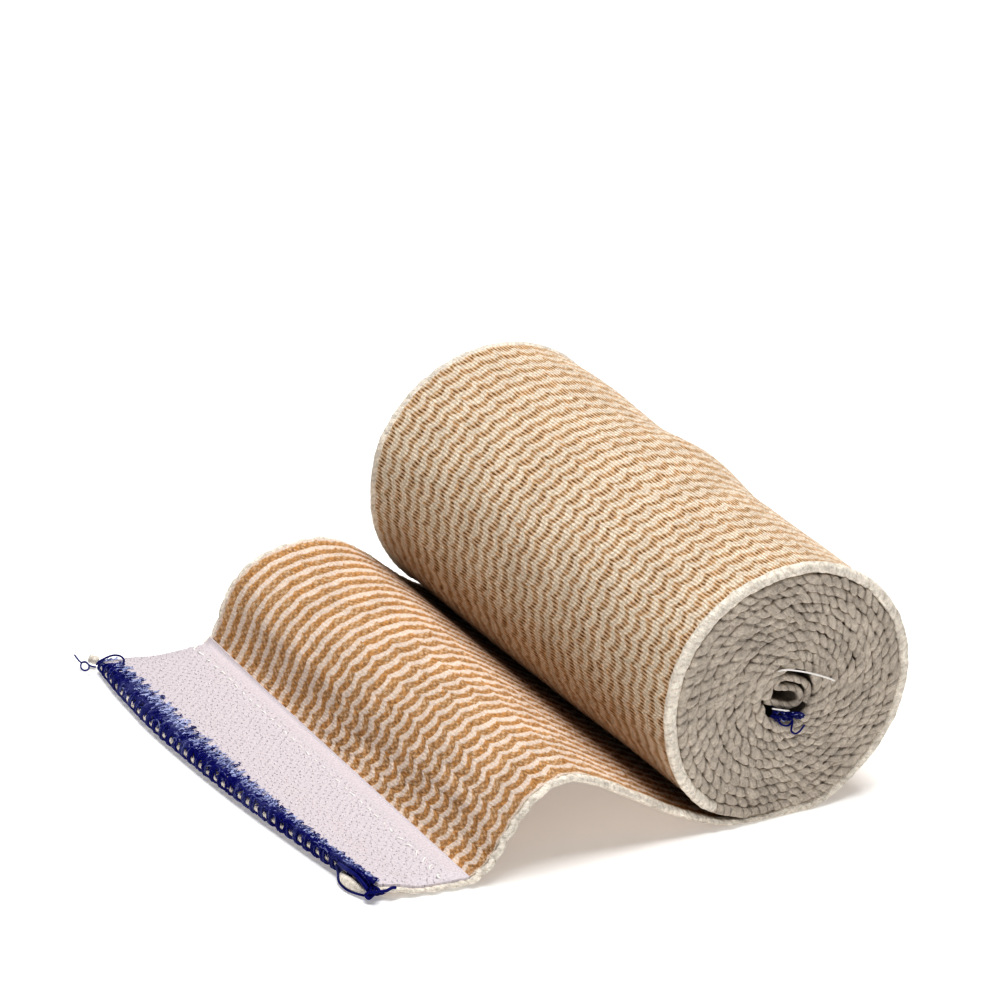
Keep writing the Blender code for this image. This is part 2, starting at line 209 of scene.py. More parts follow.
CORNER_LUMP = ((-75.2, -35.8, 1.4), (-76.1, -38.0, 1.3), (-75.9, -40.8, 1.3), (-75.2, -43.0, 1.4))

# Loose threads at the near end of the core, in mm from the roll's axis, with how far each point
# stands out of the end face.
CORE_THREAD_MM = 0.17
WHITE_THREADS = (
    ((-3.1, 4.7, -0.3), (-1.4, 4.9, 0.3), (1.5, 4.1, 0.7), (3.8, 3.2, 0.9), (6.1, 2.1, 0.8),
     (8.0, 1.0, 0.6)),
    ((-3.6, -1.9, -0.2), (-1.6, -2.4, 0.4), (-0.4, -2.8, 0.3)),
)
BLUE_LOOPS = (
    ((-3.0, -2.6, -0.4), (-2.8, -3.4, 0.5), (-2.45, -4.4, 0.8), (-1.5, -5.0, 0.9),
     (-0.6, -5.1, 0.8), (-0.1, -4.4, 0.9)),
    ((-0.9, -3.2, -0.2), (-0.7, -3.6, 0.5), (-0.1, -4.4, 0.9), (-0.3, -5.7, 1.0),
     (-0.3, -6.2, 1.1), (0.4, -6.8, 1.1), (1.3, -6.6, 1.1), (2.4, -5.7, 0.9)),
    ((-0.5, -3.9, 0.2), (-0.3, -3.4, 0.7), (0.9, -3.2, 0.8), (1.5, -3.4, 0.7), (2.5, -4.1, 0.3)),
)

# The camera stands at the photo's viewing angle: its place from the roll's axis, and its turns.
CAMERA_FROM_AXIS = (-419.4 * MM, -653.4 * MM, 385.1 * MM)
CAMERA_YAW = -31.0
CAMERA_PITCH = 24.2
CAMERA_ROLL = 2.0
CAMERA_LENS_MM = 180.0
SENSOR_MM = 36.0
FLOOR_HALF_SIZE = 3.0
LIGHT_TARGET = (0.0, 0.0, 0.02)
LIGHT_SIZE = 0.8
LIGHTS = (("key", (0.1, 0.0, 1.1), 11.3), ("fill", (-0.8, -0.8, 0.3), 1.8))


def paint(red, green, blue):
    """A colour as it shows on a screen (0 to 255), in the linear values that Blender uses."""
    shares = (red / 255.0, green / 255.0, blue / 255.0)
    return tuple(s / 12.92 if s <= 0.04045 else ((s + 0.055) / 1.055) ** 2.4 for s in shares)


def length_setting(name, description, size_mm):
    return FloatProperty(name=name, description=description, default=size_mm * MM, min=0.0,
                         unit="LENGTH", precision=5)


def colour_setting(name, description, *shown):
    return FloatVectorProperty(name=name, description=description, default=paint(*shown), size=3,
                               min=0.0, max=1.0, subtype="COLOR")


class BandageClothSettings(bpy.types.PropertyGroup):
    """Sizes and colours of the woven cloth."""
    rib_pitch: length_setting("Rib pitch", "Spacing of the weft ribs on the outer turn", 0.643)
    loose_rib_pitch: length_setting("Loose rib pitch", "Spacing of the loose end's weft", 0.6)
    stripe_count: IntProperty(name="Stripes", description="Tan stripes across the cloth",
                              default=30, min=1)
    selvedge_lump: length_setting("Selvedge lump", "Length of a lump on a loose edge", 1.28)
    wound_lump: length_setting("Wound lump", "Length of a lump on the roll's end faces", 2.1)
    selvedge_width: length_setting("Selvedge width", "Width of the corded selvedge", 1.5)
    cream: colour_setting("Cream yarn", "Weft bars and cords", 243, 230, 214)
    white: colour_setting("Selvedge yarn", "Cords along both edges", 250, 241, 228)
    beige: colour_setting("Beige yarn", "Ground between the weft bars", 212, 192, 168)
    tan: colour_setting("Tan yarn", "Tan warp stripes", 202, 158, 110)
    # Brown of the deep gaps: darker tan yarn with the painted shade that falls in the gaps.
    brown: colour_setting("Brown gaps", "Deep gaps in the tan stripes", 98, 64, 30)
    # The wound turns' selvedge yarn, painted grey with the shade that falls on the roll's end
    # faces.
    end_face_shaded: colour_setting("End face", "Selvedge of the wound turns", 209, 198, 185)


class BandageEdgeSettings(bpy.types.PropertyGroup):
    """Sizes and colours of the closure strip and the overlock thread."""
    hook_pitch: length_setting("Hook pitch", "Spacing of the hooks on the closure strip", 1.2)
    stitch_pitch: length_setting("Stitch pitch", "Spacing of the overlock stitches", 2.55)
    filaments: IntProperty(name="Filaments", description="Pale loops in each overlock stitch",
                           default=14, min=3)
    tape: colour_setting("Tape", "Closure strip", 216, 207, 211)
    thread: colour_setting("Thread", "Overlock thread", 4, 9, 102)
    thread_light: colour_setting("Light thread", "Thin spots of the overlock", 188, 196, 230)


# ---------------------------------------------------------------- numbers

def ease(share):
    """Smooth step from 0 to 1."""
    share = np.clip(share, 0.0, 1.0)
    return share * share * (3.0 - 2.0 * share)


def table_value(places, values, at):
    """Read values between the named places of a table, eased from one to the next."""
    places, values = np.asarray(places), np.asarray(values)
    low = np.clip(np.searchsorted(places, at, side="right") - 1, 0, len(places) - 2)
    share = ease((at - places[low]) / (places[low + 1] - places[low]))
    return values[low] + (values[low + 1] - values[low]) * share


def smooth_rows(points, steps):
    """Rows of numbers along a Catmull-Rom curve through the given rows."""
    points = np.asarray(points, dtype=float)
    padded = np.vstack([points[:1], points, points[-1:]])
    t = np.arange(steps)[:, None] / steps
    runs = []
    for i in range(len(points) - 1):
        a, b, c, d = padded[i:i + 4]
        runs.append(0.5 * (2.0 * b + (c - a) * t + (2.0 * a - 5.0 * b + 4.0 * c - d) * t ** 2
                           + (3.0 * b - a - 3.0 * c + d) * t ** 3))
    return np.vstack(runs + [points[-1:]])


def smooth_noise(u, v, cell_u, cell_v, seed):
    """Smooth random values from -1 to 1 over two coordinates, repeatable for a seed."""
    size = 256
    lattice = np.random.default_rng(seed).uniform(-1.0, 1.0, (size, size))
    s, t = np.broadcast_arrays(np.asarray(u) / cell_u, np.asarray(v) / cell_v)
    i, j = np.floor(s).astype(int), np.floor(t).astype(int)
    a, b = ease(s - i), ease(t - j)
    i0, i1, j0, j1 = i % size, (i + 1) % size, j % size, (j + 1) % size
    near = lattice[i0, j0] * (1.0 - a) + lattice[i1, j0] * a
    far = lattice[i0, j1] * (1.0 - a) + lattice[i1, j1] * a
    return near * (1.0 - b) + far * b


def scallop(t):
    """A wave of rounded arcs with period 1: 1 at its cusps, at whole numbers, and -1 half way."""
    return 1.0 - 2.0 * np.abs(np.sin(math.pi * t)) ** 0.75


def spread_stripes(share):
    """Where a share of the stripes' count lies across the cloth, from 0 at the near edge to 1."""
    return share + STRIPE_SPREAD * share * (share - 1.0)


def unit(vectors):
    """The same vectors with length 1."""
    return vectors / np.maximum(np.linalg.norm(vectors, axis=-1, keepdims=True), 1e-12)


def grid_normals(grid, towards):
    """Unit normals of a grid of points, turned to the side that `towards` points to."""
    normals = unit(np.cross(np.gradient(grid, axis=0), np.gradient(grid, axis=1)))
    sign = np.sign(np.sum(normals * towards, axis=-1, keepdims=True))
    return normals * np.where(sign == 0.0, 1.0, sign)


def path_length(path):
    """Length along a path of points from its first one, at each point."""
    steps = np.linalg.norm(np.diff(path, axis=0), axis=1)
    return np.concatenate([[0.0], np.cumsum(steps)])


def resample(length, columns, count):
    """Rows of numbers at evenly spaced lengths along a path."""
    even = np.linspace(length[0], length[-1], count)
    return even, np.stack([np.interp(even, length, column) for column in columns.T], axis=1)


# ---------------------------------------------------------------- the cloth's form

def from_axis(x, y, z):
    """Points at x and z from the roll's axis, and y along it."""
    x, y, z = np.broadcast_arrays(x, y, z)
    return np.stack([x + ROLL_AXIS_X, y, z + ROLL_AXIS_Z], axis=-1)


def beside_axis(points_mm, steps):
    """A smooth path through points in mm, given from the roll's axis and above the surface."""
    path = smooth_rows(np.array(points_mm) * MM, steps)
    path[:, 0] += ROLL_AXIS_X
    return path


def swell_at(angle_deg, y):
    """How far the outer turn stands off the plain spiral at directions and places along Y."""
    angles = np.array([row[0] for row in SWELL])
    along = np.stack([table_value(SWELL_PLACES, row[1:], y / MM) for row in SWELL])
    low = np.clip(np.searchsorted(angles, angle_deg, side="right") - 1, 0, len(angles) - 2)
    share = ease((angle_deg - angles[low]) / (angles[low + 1] - angles[low]))
    before, after = (np.take_along_axis(along, row[None], axis=0)[0] for row in (low, low + 1))
    return (before + (after - before) * share) * MM


def turn_angle(turn):
    """The direction of a place on the spiral, in radians: straight down at the outer step."""
    return math.radians(-90.0) + turn * FULL_TURN


def spiral_points(turn, y, inward=0.0):
    """Points of the wound cloth, `turn` turns in from the outer step, `inward` under its face."""
    turn, y, inward = np.broadcast_arrays(turn, y, inward)
    angle = turn_angle(turn)
    radius = OUTER_RADIUS - LAYER_PITCH * turn - inward
    core_radius = OUTER_RADIUS - LAYER_PITCH * (TURNS + 1.0)
    depth_share = np.maximum(0.0, (radius - core_radius) / (OUTER_RADIUS - core_radius))
    direction = (np.degrees(angle) + 90.0) % 360.0 - 90.0
    radius = radius + swell_at(direction, y) * depth_share ** SWELL_FADE_POWER
    x = radius * np.cos(angle) * (1.0 + SIDE_SPREAD * depth_share)
    z = ROLL_AXIS_Z + radius * np.sin(angle)
    layers_below = np.round(turn)
    given_way = SAG * (1.0 - np.exp(-(layers_below / SAG_FADE_LAYERS) ** 2))
    floor = layers_below * LAYER_PITCH + inward - given_way
    return np.stack([x + ROLL_AXIS_X, y, np.maximum(z, floor)], axis=-1)


def end_stagger(turn):
    """How far the edge of a turn stands in from the cut width, from uneven winding."""
    change = np.cos(turn * STAGGER_CHANGE_PER_TURN + STAGGER_START)
    return END_STAGGER * (0.5 + 0.5 * np.sin(turn * STAGGER_PER_TURN) * change)


def tail_base(across):
    """The loose end's underside, its normals and its thickness, for shares across the cloth."""
    sections = smooth_rows(np.array(TAIL_SECTIONS) * MM, TAIL_STEPS_PER_SECTION)
    near_x, near_z, far_x, far_z, thick, near_half, far_half = (c[:, None] for c in sections.T)
    across = np.asarray(across)[None, :]
    share = ease(across) * 0.5 + across * 0.5
    number = np.arange(len(sections))[:, None] / (len(sections) - 1.0)
    bow = FREE_EDGE_BOW * np.maximum(0.0, (number - BOW_START) / (1.0 - BOW_START))
    x = near_x + (far_x - near_x) * share - bow * np.sin(math.pi * across) + ROLL_AXIS_X
    y = -near_half + (near_half + far_half) * across
    z = np.maximum(near_z + (far_z - near_z) * share, 0.0)
    base = np.stack([x, y, z], axis=-1)
    run = np.gradient(base, axis=0)
    run[..., 1] = 0.0
    run = unit(run)
    normal = np.stack([run[..., 2], np.zeros_like(x), -run[..., 0]], axis=-1)
    return base, normal, np.broadcast_to(thick, x.shape)


def tail_grid(across, rows):
    """tail_base at rows evenly spaced along the cloth, with the length along it."""
    base, normal, thick = tail_base(across)
    length = path_length(base[:, base.shape[1] // 2])
    stacked = np.concatenate([base, normal, thick[..., None]], axis=-1)
    even, packed = resample(length, stacked.reshape(len(length), -1), rows)
    packed = packed.reshape(rows, base.shape[1], 7)
    return packed[..., :3], unit(packed[..., 3:6]), packed[..., 6], even


# ---------------------------------------------------------------- meshes

def finish_mesh(name, points, faces, uv, materials, face_materials=None, smooth_angle=None):
    """A new object from points, faces and one UV pair for each point."""
    mesh = bpy.data.meshes.new(name)
    mesh.from_pydata(np.asarray(points).reshape(-1, 3).tolist(), [], faces)
    layer = mesh.uv_layers.new(name="weave")
    corners = np.empty(len(mesh.loops), dtype=np.int32)
    mesh.loops.foreach_get("vertex_index", corners)
    uv = np.asarray(uv, dtype=np.float32).reshape(-1, 2)
    layer.data.foreach_set("uv", uv[corners].ravel())
    for material in materials:
        mesh.materials.append(material)
    if face_materials is not None:
        mesh.polygons.foreach_set("material_index", np.asarray(face_materials, dtype=np.int32))
    mesh.shade_smooth()
    mesh.validate()
    builder = bmesh.new()
    builder.from_mesh(mesh)
    bmesh.ops.recalc_face_normals(builder, faces=builder.faces[:])
    builder.to_mesh(mesh)
    builder.free()
    if smooth_angle is not None:
        mesh.set_sharp_from_angle(angle=math.radians(smooth_angle))
    piece = bpy.data.objects.new(name, mesh)
    bpy.context.collection.objects.link(piece)
    return piece


def grid_quads(rows, columns, start=0, closed=False):
    """Index quads of a grid of points numbered row by row, its rows closed into rings or not."""
    column = np.arange(columns if closed else columns - 1)[None, :]
    here = start + np.arange(rows - 1)[:, None] * columns
    after = (column + 1) % columns
    quads = [here + column, here + after, here + columns + after, here + columns + column]
    return np.stack(quads, axis=-1).reshape(-1, 4).tolist()


def grid_border(rows, columns, start=0, row_step=1, column_step=1):
    """Indices round a grid's border, every row_step or column_step points."""
    index = start + np.arange(rows * columns).reshape(rows, columns)
    first = list(index[0, ::column_step])
    right = list(index[::row_step, -1])[1:]
    last = list(index[-1, ::-1][::column_step])[1:]
    left = list(index[::-1, 0][::row_step])[1:-1]
    return [int(i) for i in first + right + last + left]


def woven_sheet(name, fine, fine_uv, row_step, column_step, coarse, finishes):
    """A closed sheet with a finely divided face and a coarser one, joined round the border.

    The coarser face has one point for every row_step by column_step points of the fine one, and
    `finishes` names the materials of the fine face, the coarse face and the border.
    """
    rows, columns = fine.shape[:2]
    coarse_rows, coarse_columns = coarse.shape[:2]
    start = rows * columns
    faces = grid_quads(rows, columns)
    kinds = [0] * len(faces)
    faces += grid_quads(coarse_rows, coarse_columns, start)
    kinds += [1] * (len(faces) - len(kinds))
    around = grid_border(rows, columns)
    knots = grid_border(rows, columns, 0, row_step, column_step)
    under = grid_border(coarse_rows, coarse_columns, start)
    place = {index: number for number, index in enumerate(around)}
    for i, knot in enumerate(knots):
        last = place[knots[(i + 1) % len(knots)]] or len(around)
        rim = [around[k % len(around)] for k in range(place[knot], last + 1)]
        faces.append([under[i]] + rim + [under[(i + 1) % len(under)]])
        kinds.append(2)
    points = np.concatenate([fine.reshape(-1, 3), coarse.reshape(-1, 3)])
    coarse_uv = fine_uv[::row_step, ::column_step]
    uv = np.concatenate([fine_uv.reshape(-1, 2), coarse_uv.reshape(-1, 2)])
    materials = [material_named(finish) for finish in finishes]
    return finish_mesh(name, points, faces, uv, materials, kinds, 60.0)


def flat_tube(name, points, finish):
    """A flat tube of cloth. Each row of points runs along its outer face and back inside it."""
    rows, columns = points.shape[:2]
    faces = grid_quads(rows, columns, closed=True)
    for start in (0, (rows - 1) * columns):
        faces += [[start + i, start + i + 1, start + columns - 2 - i, start + columns - 1 - i]
                  for i in range(columns // 2 - 1)]
    return finish_mesh(name, points, faces, np.zeros((rows * columns, 2)),
                       [material_named(finish)], None, 50.0)


class Strands:
    """Thread tubes gathered into one mesh. A strand's UV pair is its length in mm and its tint."""

    def __init__(self):
        self.points, self.faces, self.uv = [], [], []
        self.count = 0

    def add(self, path, radius, sides=4, tint=0.5, taper=True):
        path = np.asarray(path, dtype=float)
        radius = np.broadcast_to(np.asarray(radius, dtype=float), len(path)).copy()
        if taper:
            radius[[0, -1]] *= 0.35
        tangents = unit(np.gradient(path, axis=0))
        sideways = [unit(np.cross(tangents[0], (0.31, 0.23, 0.92)))]
        for tangent in tangents[1:]:
            sideways.append(unit(sideways[-1] - tangent * np.dot(sideways[-1], tangent)))
        sideways = np.array(sideways)
        turn = np.arange(sides) * FULL_TURN / sides
        ring = (sideways[:, None] * np.cos(turn)[None, :, None]
                + np.cross(tangents, sideways)[:, None] * np.sin(turn)[None, :, None])
        self.points.append((path[:, None] + ring * radius[:, None, None]).reshape(-1, 3))
        along = np.repeat(path_length(path) / MM, sides)
        self.uv.append(np.stack([along, np.full(len(along), tint)], axis=1))
        self.faces += grid_quads(len(path), sides, self.count, closed=True)
        for first in (self.count, self.count + (len(path) - 1) * sides):
            self.faces.append(list(range(first, first + sides)))
        self.count += len(path) * sides

    def build(self, name, finish):
        return finish_mesh(name, np.concatenate(self.points), self.faces,
                           np.concatenate(self.uv), [material_named(finish)], None, 80.0)


# ---------------------------------------------------------------- material parts

def feed(tree, socket, value):
    """Link a socket to another one, or set its value."""
    if isinstance(value, bpy.types.NodeSocket):
        tree.links.new(value, socket)
    elif socket.type == "RGBA" and len(value) == 3:
        socket.default_value = (*value, 1.0)
    else:
        socket.default_value = value


def add_math(tree, operation, *values, clamp=False):
    node = tree.nodes.new("ShaderNodeMath")
    node.operation = operation
    node.use_clamp = clamp
    for socket, value in zip(node.inputs, values):
        feed(tree, socket, value)
    return node.outputs[0]


def plus(tree, first, *others):
    for other in others:
        first = add_math(tree, "ADD", first, other)
    return first


def times(tree, first, *others):
    for other in others:
        first = add_math(tree, "MULTIPLY", first, other)
    return first


def minus(tree, first, second):
    return add_math(tree, "SUBTRACT", first, second)


def add_wave(tree, operation, value, size):
    """The sine or cosine of a value times a size."""
    return add_math(tree, operation, times(tree, value, size))


def add_stray(tree, value, size):
    """A random value from 0 to 1 as a shift either way, `size` from end to end."""
    return times(tree, minus(tree, value, 0.5), size)


def add_range(tree, value, low, high, out_low=0.0, out_high=1.0):
    """A smooth step from out_low to out_high as the value goes from low to high."""
    node = tree.nodes.new("ShaderNodeMapRange")
    node.interpolation_type = "SMOOTHSTEP"
    for name, number in (("Value", value), ("From Min", low), ("From Max", high),
                         ("To Min", out_low), ("To Max", out_high)):
        feed(tree, node.inputs[name], number)
    return node.outputs[0]


def spread(tree, noise, out_low, out_high):
    """A noise, which lies mostly between 0.3 and 0.7, spread from out_low to out_high."""
    return add_range(tree, noise, 0.3, 0.7, out_low, out_high)


def add_mix(tree, share, first, second, blend_type="MIX"):
    node = tree.nodes.new("ShaderNodeMix")
    node.data_type = "RGBA"
    node.blend_type = blend_type
    for number, value in ((0, share), (6, first), (7, second)):
        feed(tree, node.inputs[number], value)
    return node.outputs[2]


def add_noise(tree, vector, scale, detail, roughness):
    node = tree.nodes.new("ShaderNodeTexNoise")
    for name, value in (("Vector", vector), ("Scale", scale), ("Detail", detail),
                        ("Roughness", roughness)):
        feed(tree, node.inputs[name], value)
    return node.outputs[0]


def woven_noise(tree, weave, stretch, scale, detail, roughness):
    """Noise over the weave map, stretched by two factors."""
    node = tree.nodes.new("ShaderNodeVectorMath")
    node.operation = "MULTIPLY"
    feed(tree, node.inputs[0], weave)
    node.inputs[1].default_value = (*stretch, 1.0)
    return add_noise(tree, node.outputs[0], scale, detail, roughness)


def add_bump(tree, height, strength, distance, normal=None):
    node = tree.nodes.new("ShaderNodeBump")
    node.inputs["Strength"].default_value = strength
    node.inputs["Distance"].default_value = distance
    feed(tree, node.inputs["Height"], height)
    if normal is not None:
        feed(tree, node.inputs["Normal"], normal)
    return node.outputs[0]


def add_split(tree, vector):
    node = tree.nodes.new("ShaderNodeSeparateXYZ")
    feed(tree, node.inputs[0], vector)
    return node.outputs


def new_group(name, inputs, outputs):
    """A shader node group with named sockets: (name, type, default) and names of float outputs."""
    group = bpy.data.node_groups.new(name, "ShaderNodeTree")
    for socket_name, kind, default in inputs:
        socket = group.interface.new_socket(socket_name, in_out="INPUT", socket_type=kind)
        if default is not None:
            socket.default_value = default
    for socket_name in outputs:
        group.interface.new_socket(socket_name, in_out="OUTPUT", socket_type="NodeSocketFloat")
    given = group.nodes.new("NodeGroupInput").outputs
    return group, given, group.nodes.new("NodeGroupOutput").inputs


def place_group(tree, name, **values):
    """The outputs of a node group placed in a tree, its inputs fed by name."""
    node = tree.nodes.new("ShaderNodeGroup")
    node.node_tree = bpy.data.node_groups[name]
    for socket_name, value in values.items():
        feed(tree, node.inputs[socket_name.replace("_", " ")], value)
    return node.outputs


def add_cell_values(tree, vector):
    """Three random values from 0 to 1 for each whole cell of a vector."""
    whole = tree.nodes.new("ShaderNodeVectorMath")
    whole.operation = "FLOOR"
    feed(tree, whole.inputs[0], vector)
    noise = tree.nodes.new("ShaderNodeTexWhiteNoise")
    feed(tree, noise.inputs["Vector"], whole.outputs[0])
    return add_split(tree, noise.outputs["Color"])


def build_weave_cells_group():
    """Stripes, weft bars and slots from the weave map: U counts the ribs, V counts the stripes."""
    group, given, put = new_group(
        "weave_cells",
        (("Weave", "NodeSocketVector", None), ("Tan Share", "NodeSocketFloat", 0.42),
         ("Softness", "NodeSocketFloat", 0.06), ("Jitter", "NodeSocketFloat", 0.15)),
        ("Tan", "Bar", "Gap", "Fleck", "Away", "Each"))
    weave, softness, ragged = given["Weave"], given["Softness"], given["Jitter"]
    u, v, _ = add_split(group, weave)
    shift = woven_noise(group, weave, (0.35, 1.0), 1.3, 2.0, 0.5)
    fray = woven_noise(group, weave, (0.9, 2.3), 1.0, 2.0, 0.6)
    patches = woven_noise(group, weave, (0.27, 1.1), 1.0, 1.0, 0.5)
    fleck = woven_noise(group, weave, (1.6, 4.4), 1.1, 3.0, 0.7)
    shifted = plus(group, u, add_stray(group, shift, 0.6))
    cell = group.nodes.new("ShaderNodeCombineXYZ")
    feed(group, cell.inputs[0], shifted)
    feed(group, cell.inputs[1], v)
    strength, sideways, size = add_cell_values(group, cell.outputs[0])

    # The tan stripe, with a frayed border
    jitter = plus(group, add_stray(group, fray, ragged),
                  add_stray(group, size, times(group, ragged, 0.7)),
                  add_stray(group, patches, times(group, ragged, 1.4)))
    centred = minus(group, add_math(group, "FRACT", v), 0.5)
    frayed = plus(group, add_math(group, "ABSOLUTE", centred), jitter)
    half = times(group, given["Tan Share"], 0.5)
    tan = add_range(group, frayed, plus(group, half, softness), minus(group, half, softness))
    bar = add_range(group, add_wave(group, "COSINE", shifted, FULL_TURN), -0.75, 0.35)

    # The dark slot in each cell, shaped like a lens: a mask for the painted shade that falls in
    # the slot
    along_rib = minus(group, add_math(group, "FRACT", shifted), 0.5)
    across = add_math(group, "DIVIDE", along_rib, 0.34)
    along = add_math(group, "DIVIDE", minus(group, centred, add_stray(group, sideways, 0.17)),
                     add_range(group, size, 0.0, 1.0, 0.26, 0.18))
    distance = plus(group, times(group, across, across), times(group, along, along))
    gap = times(group, add_range(group, distance, 1.0, 0.2),
                add_range(group, strength, 0.0, 0.8, 0.5, 1.0),
                add_range(group, fleck, 0.3, 0.6, 0.6, 1.0),
                add_range(group, patches, 0.58, 0.42, 0.45, 1.0))
    for name, value in (("Tan", tan), ("Bar", bar), ("Gap", gap), ("Fleck", fleck),
                        ("Away", frayed), ("Each", size)):
        feed(group, put[name], value)


def build_yarn_fuzz_group():
    """Fine fibre height and a soft mottling of any yarn, from the place on the piece."""
    group, given, put = new_group(
        "yarn_fuzz", (("Place", "NodeSocketVector", None),), ("Fibre", "Mottle"))
    fine = add_noise(group, given["Place"], 5200.0, 2.0, 0.7)
    coarse = add_noise(group, given["Place"], 1700.0, 1.0, 0.5)
    feed(group, put["Fibre"], plus(group, times(group, fine, 0.6), times(group, coarse, 0.4)))
    feed(group, put["Mottle"], add_noise(group, given["Place"], 160.0, 2.0, 0.55))


# ---------------------------------------------------------------- materials

def blend(first, first_share, second, second_share):
    """Two colours put together in the given shares."""
    return tuple(first_share * a + second_share * b for a, b in zip(first, second))


def tone(colour, *factors):
    """A colour with its three parts multiplied by three factors, or all by one."""
    return tuple(c * f for c, f in zip(colour, factors * 3 if len(factors) == 1 else factors))


def start_finish(name):
    """A new material, its tree, the place on the piece, and the yarn's fibre and mottling."""
    material = bpy.data.materials.new(name)
    material.use_nodes = True
    tree = material.node_tree
    place = tree.nodes.new("ShaderNodeTexCoord").outputs["Object"]
    fuzz = place_group(tree, "yarn_fuzz", Place=place)
    return material, tree, place, fuzz["Fibre"], fuzz["Mottle"]


def weave_map(tree):
    """The weave map and its two coordinates."""
    node = tree.nodes.new("ShaderNodeUVMap")
    node.uv_map = "weave"
    u, v, _ = add_split(tree, node.outputs[0])
    return node.outputs[0], u, v


def shaded(tree, colour, *shades):
    return add_mix(tree, 1.0, colour, times(tree, *shades), "MULTIPLY")


def end_finish(material, colour, roughness, normal, specular=0.5):
    """Feed the material's own shader, and give the material back."""
    shader = material.node_tree.nodes["Principled BSDF"]
    feed(material.node_tree, shader.inputs["Base Color"], colour)
    feed(material.node_tree, shader.inputs["Roughness"], roughness)
    feed(material.node_tree, shader.inputs["Normal"], normal)
    shader.inputs["Specular IOR Level"].default_value = specular
    return material


def outer_face_material(name, cream, beige, tan, brown):
    """The crepe's outer face: cream weft bars, and tan stripes with lens-shaped slots painted dark
    brown as the shade in them.
    """
    material, tree, _, fibre, mottle = start_finish(name)
    weave, u, _ = weave_map(tree)
    cells = place_group(tree, "weave_cells", Weave=weave, Tan_Share=0.5, Softness=0.12,
                        Jitter=0.22)
    middle = add_range(tree, cells["Away"], 0.3, 0.5, 0.0, 0.6)
    cream_bar = add_mix(tree, middle, cream, blend(cream, 0.45, beige, 0.55))
    cream_yarn = add_mix(tree, cells["Bar"], beige, cream_bar)
    dull_tan = add_mix(tree, cells["Each"], blend(tan, 0.9, brown, 0.1),
                       tone(tan, 0.72, 0.78, 0.72))
    tan_yarn = add_mix(tree, cells["Bar"], dull_tan, blend(tan, 0.6, cream, 0.4))
    colour = add_mix(tree, cells["Tan"], cream_yarn, tan_yarn)
    # The slots are painted brown as the shade in them, more strongly from rib 95 to rib 165 along
    # the ribs.
    stretched = add_range(tree, u, 95.0, 165.0, 0.62, 0.92)
    colour = add_mix(tree, times(tree, cells["Gap"], stretched), colour, brown)
    colour = shaded(tree, colour, add_range(tree, cells["Fleck"], 0.25, 0.75, 0.68, 1.18),
                    spread(tree, fibre, 0.88, 1.1), spread(tree, mottle, 0.95, 1.04))
    bars = add_bump(tree, minus(tree, cells["Bar"], cells["Gap"]), 0.5, 0.09 * MM)
    normal = add_bump(tree, fibre, 0.6, 0.07 * MM, bars)
    return end_finish(material, colour, spread(tree, fibre, 0.82, 0.95), normal, 0.2)


def inner_face_material(name, cream, tan, brown):
    """The crepe's inner face: fluffy cream cords between tan bands of small pebbles, with painted
    shade between the pebbles and the cords' lumps.
    """
    material, tree, _, fibre, mottle = start_finish(name)
    weave, u, v = weave_map(tree)
    cells = place_group(tree, "weave_cells", Weave=weave, Tan_Share=0.58, Softness=0.05,
                        Jitter=0.16)
    column = add_math(tree, "FLOOR", times(tree, v, PEBBLES_PER_STRIPE))
    row = plus(tree, u, column, add_stray(tree, cells["Fleck"], 2.6))
    pebble = add_wave(tree, "COSINE", row, math.pi)
    bright = add_mix(tree, cells["Each"], blend(tan, 0.7, cream, 0.3),
                     tone(tan, 1.02, 0.92, 0.76))
    # Painted shade over the relief: darker tan in the valleys between the pebbles, brown in the
    # slots.
    tan_yarn = add_mix(tree, add_range(tree, pebble, -0.8, 0.2), blend(tan, 0.76, brown, 0.24),
                       bright)
    tan_yarn = add_mix(tree, times(tree, cells["Gap"], 0.5), tan_yarn, brown)
    cord_shade = times(tree, cells["Bar"], add_range(tree, cells["Fleck"], 0.35, 0.6))
    pink_cream = tone(cream, 0.9, 0.88, 0.92)
    cord = add_mix(tree, cord_shade, blend(pink_cream, 0.72, tan, 0.28), pink_cream)
    colour = shaded(tree, add_mix(tree, cells["Tan"], cord, tan_yarn),
                    spread(tree, fibre, 0.8, 1.14), spread(tree, mottle, 0.93, 1.06))
    height = plus(tree, times(tree, pebble, cells["Tan"], 0.6), times(tree, cells["Fleck"], 1.2))
    pebbles = add_bump(tree, height, 0.6, 0.14 * MM)
    normal = add_bump(tree, fibre, 0.7, 0.09 * MM, pebbles)
    return end_finish(material, colour, spread(tree, fibre, 0.82, 0.95), normal, 0.2)


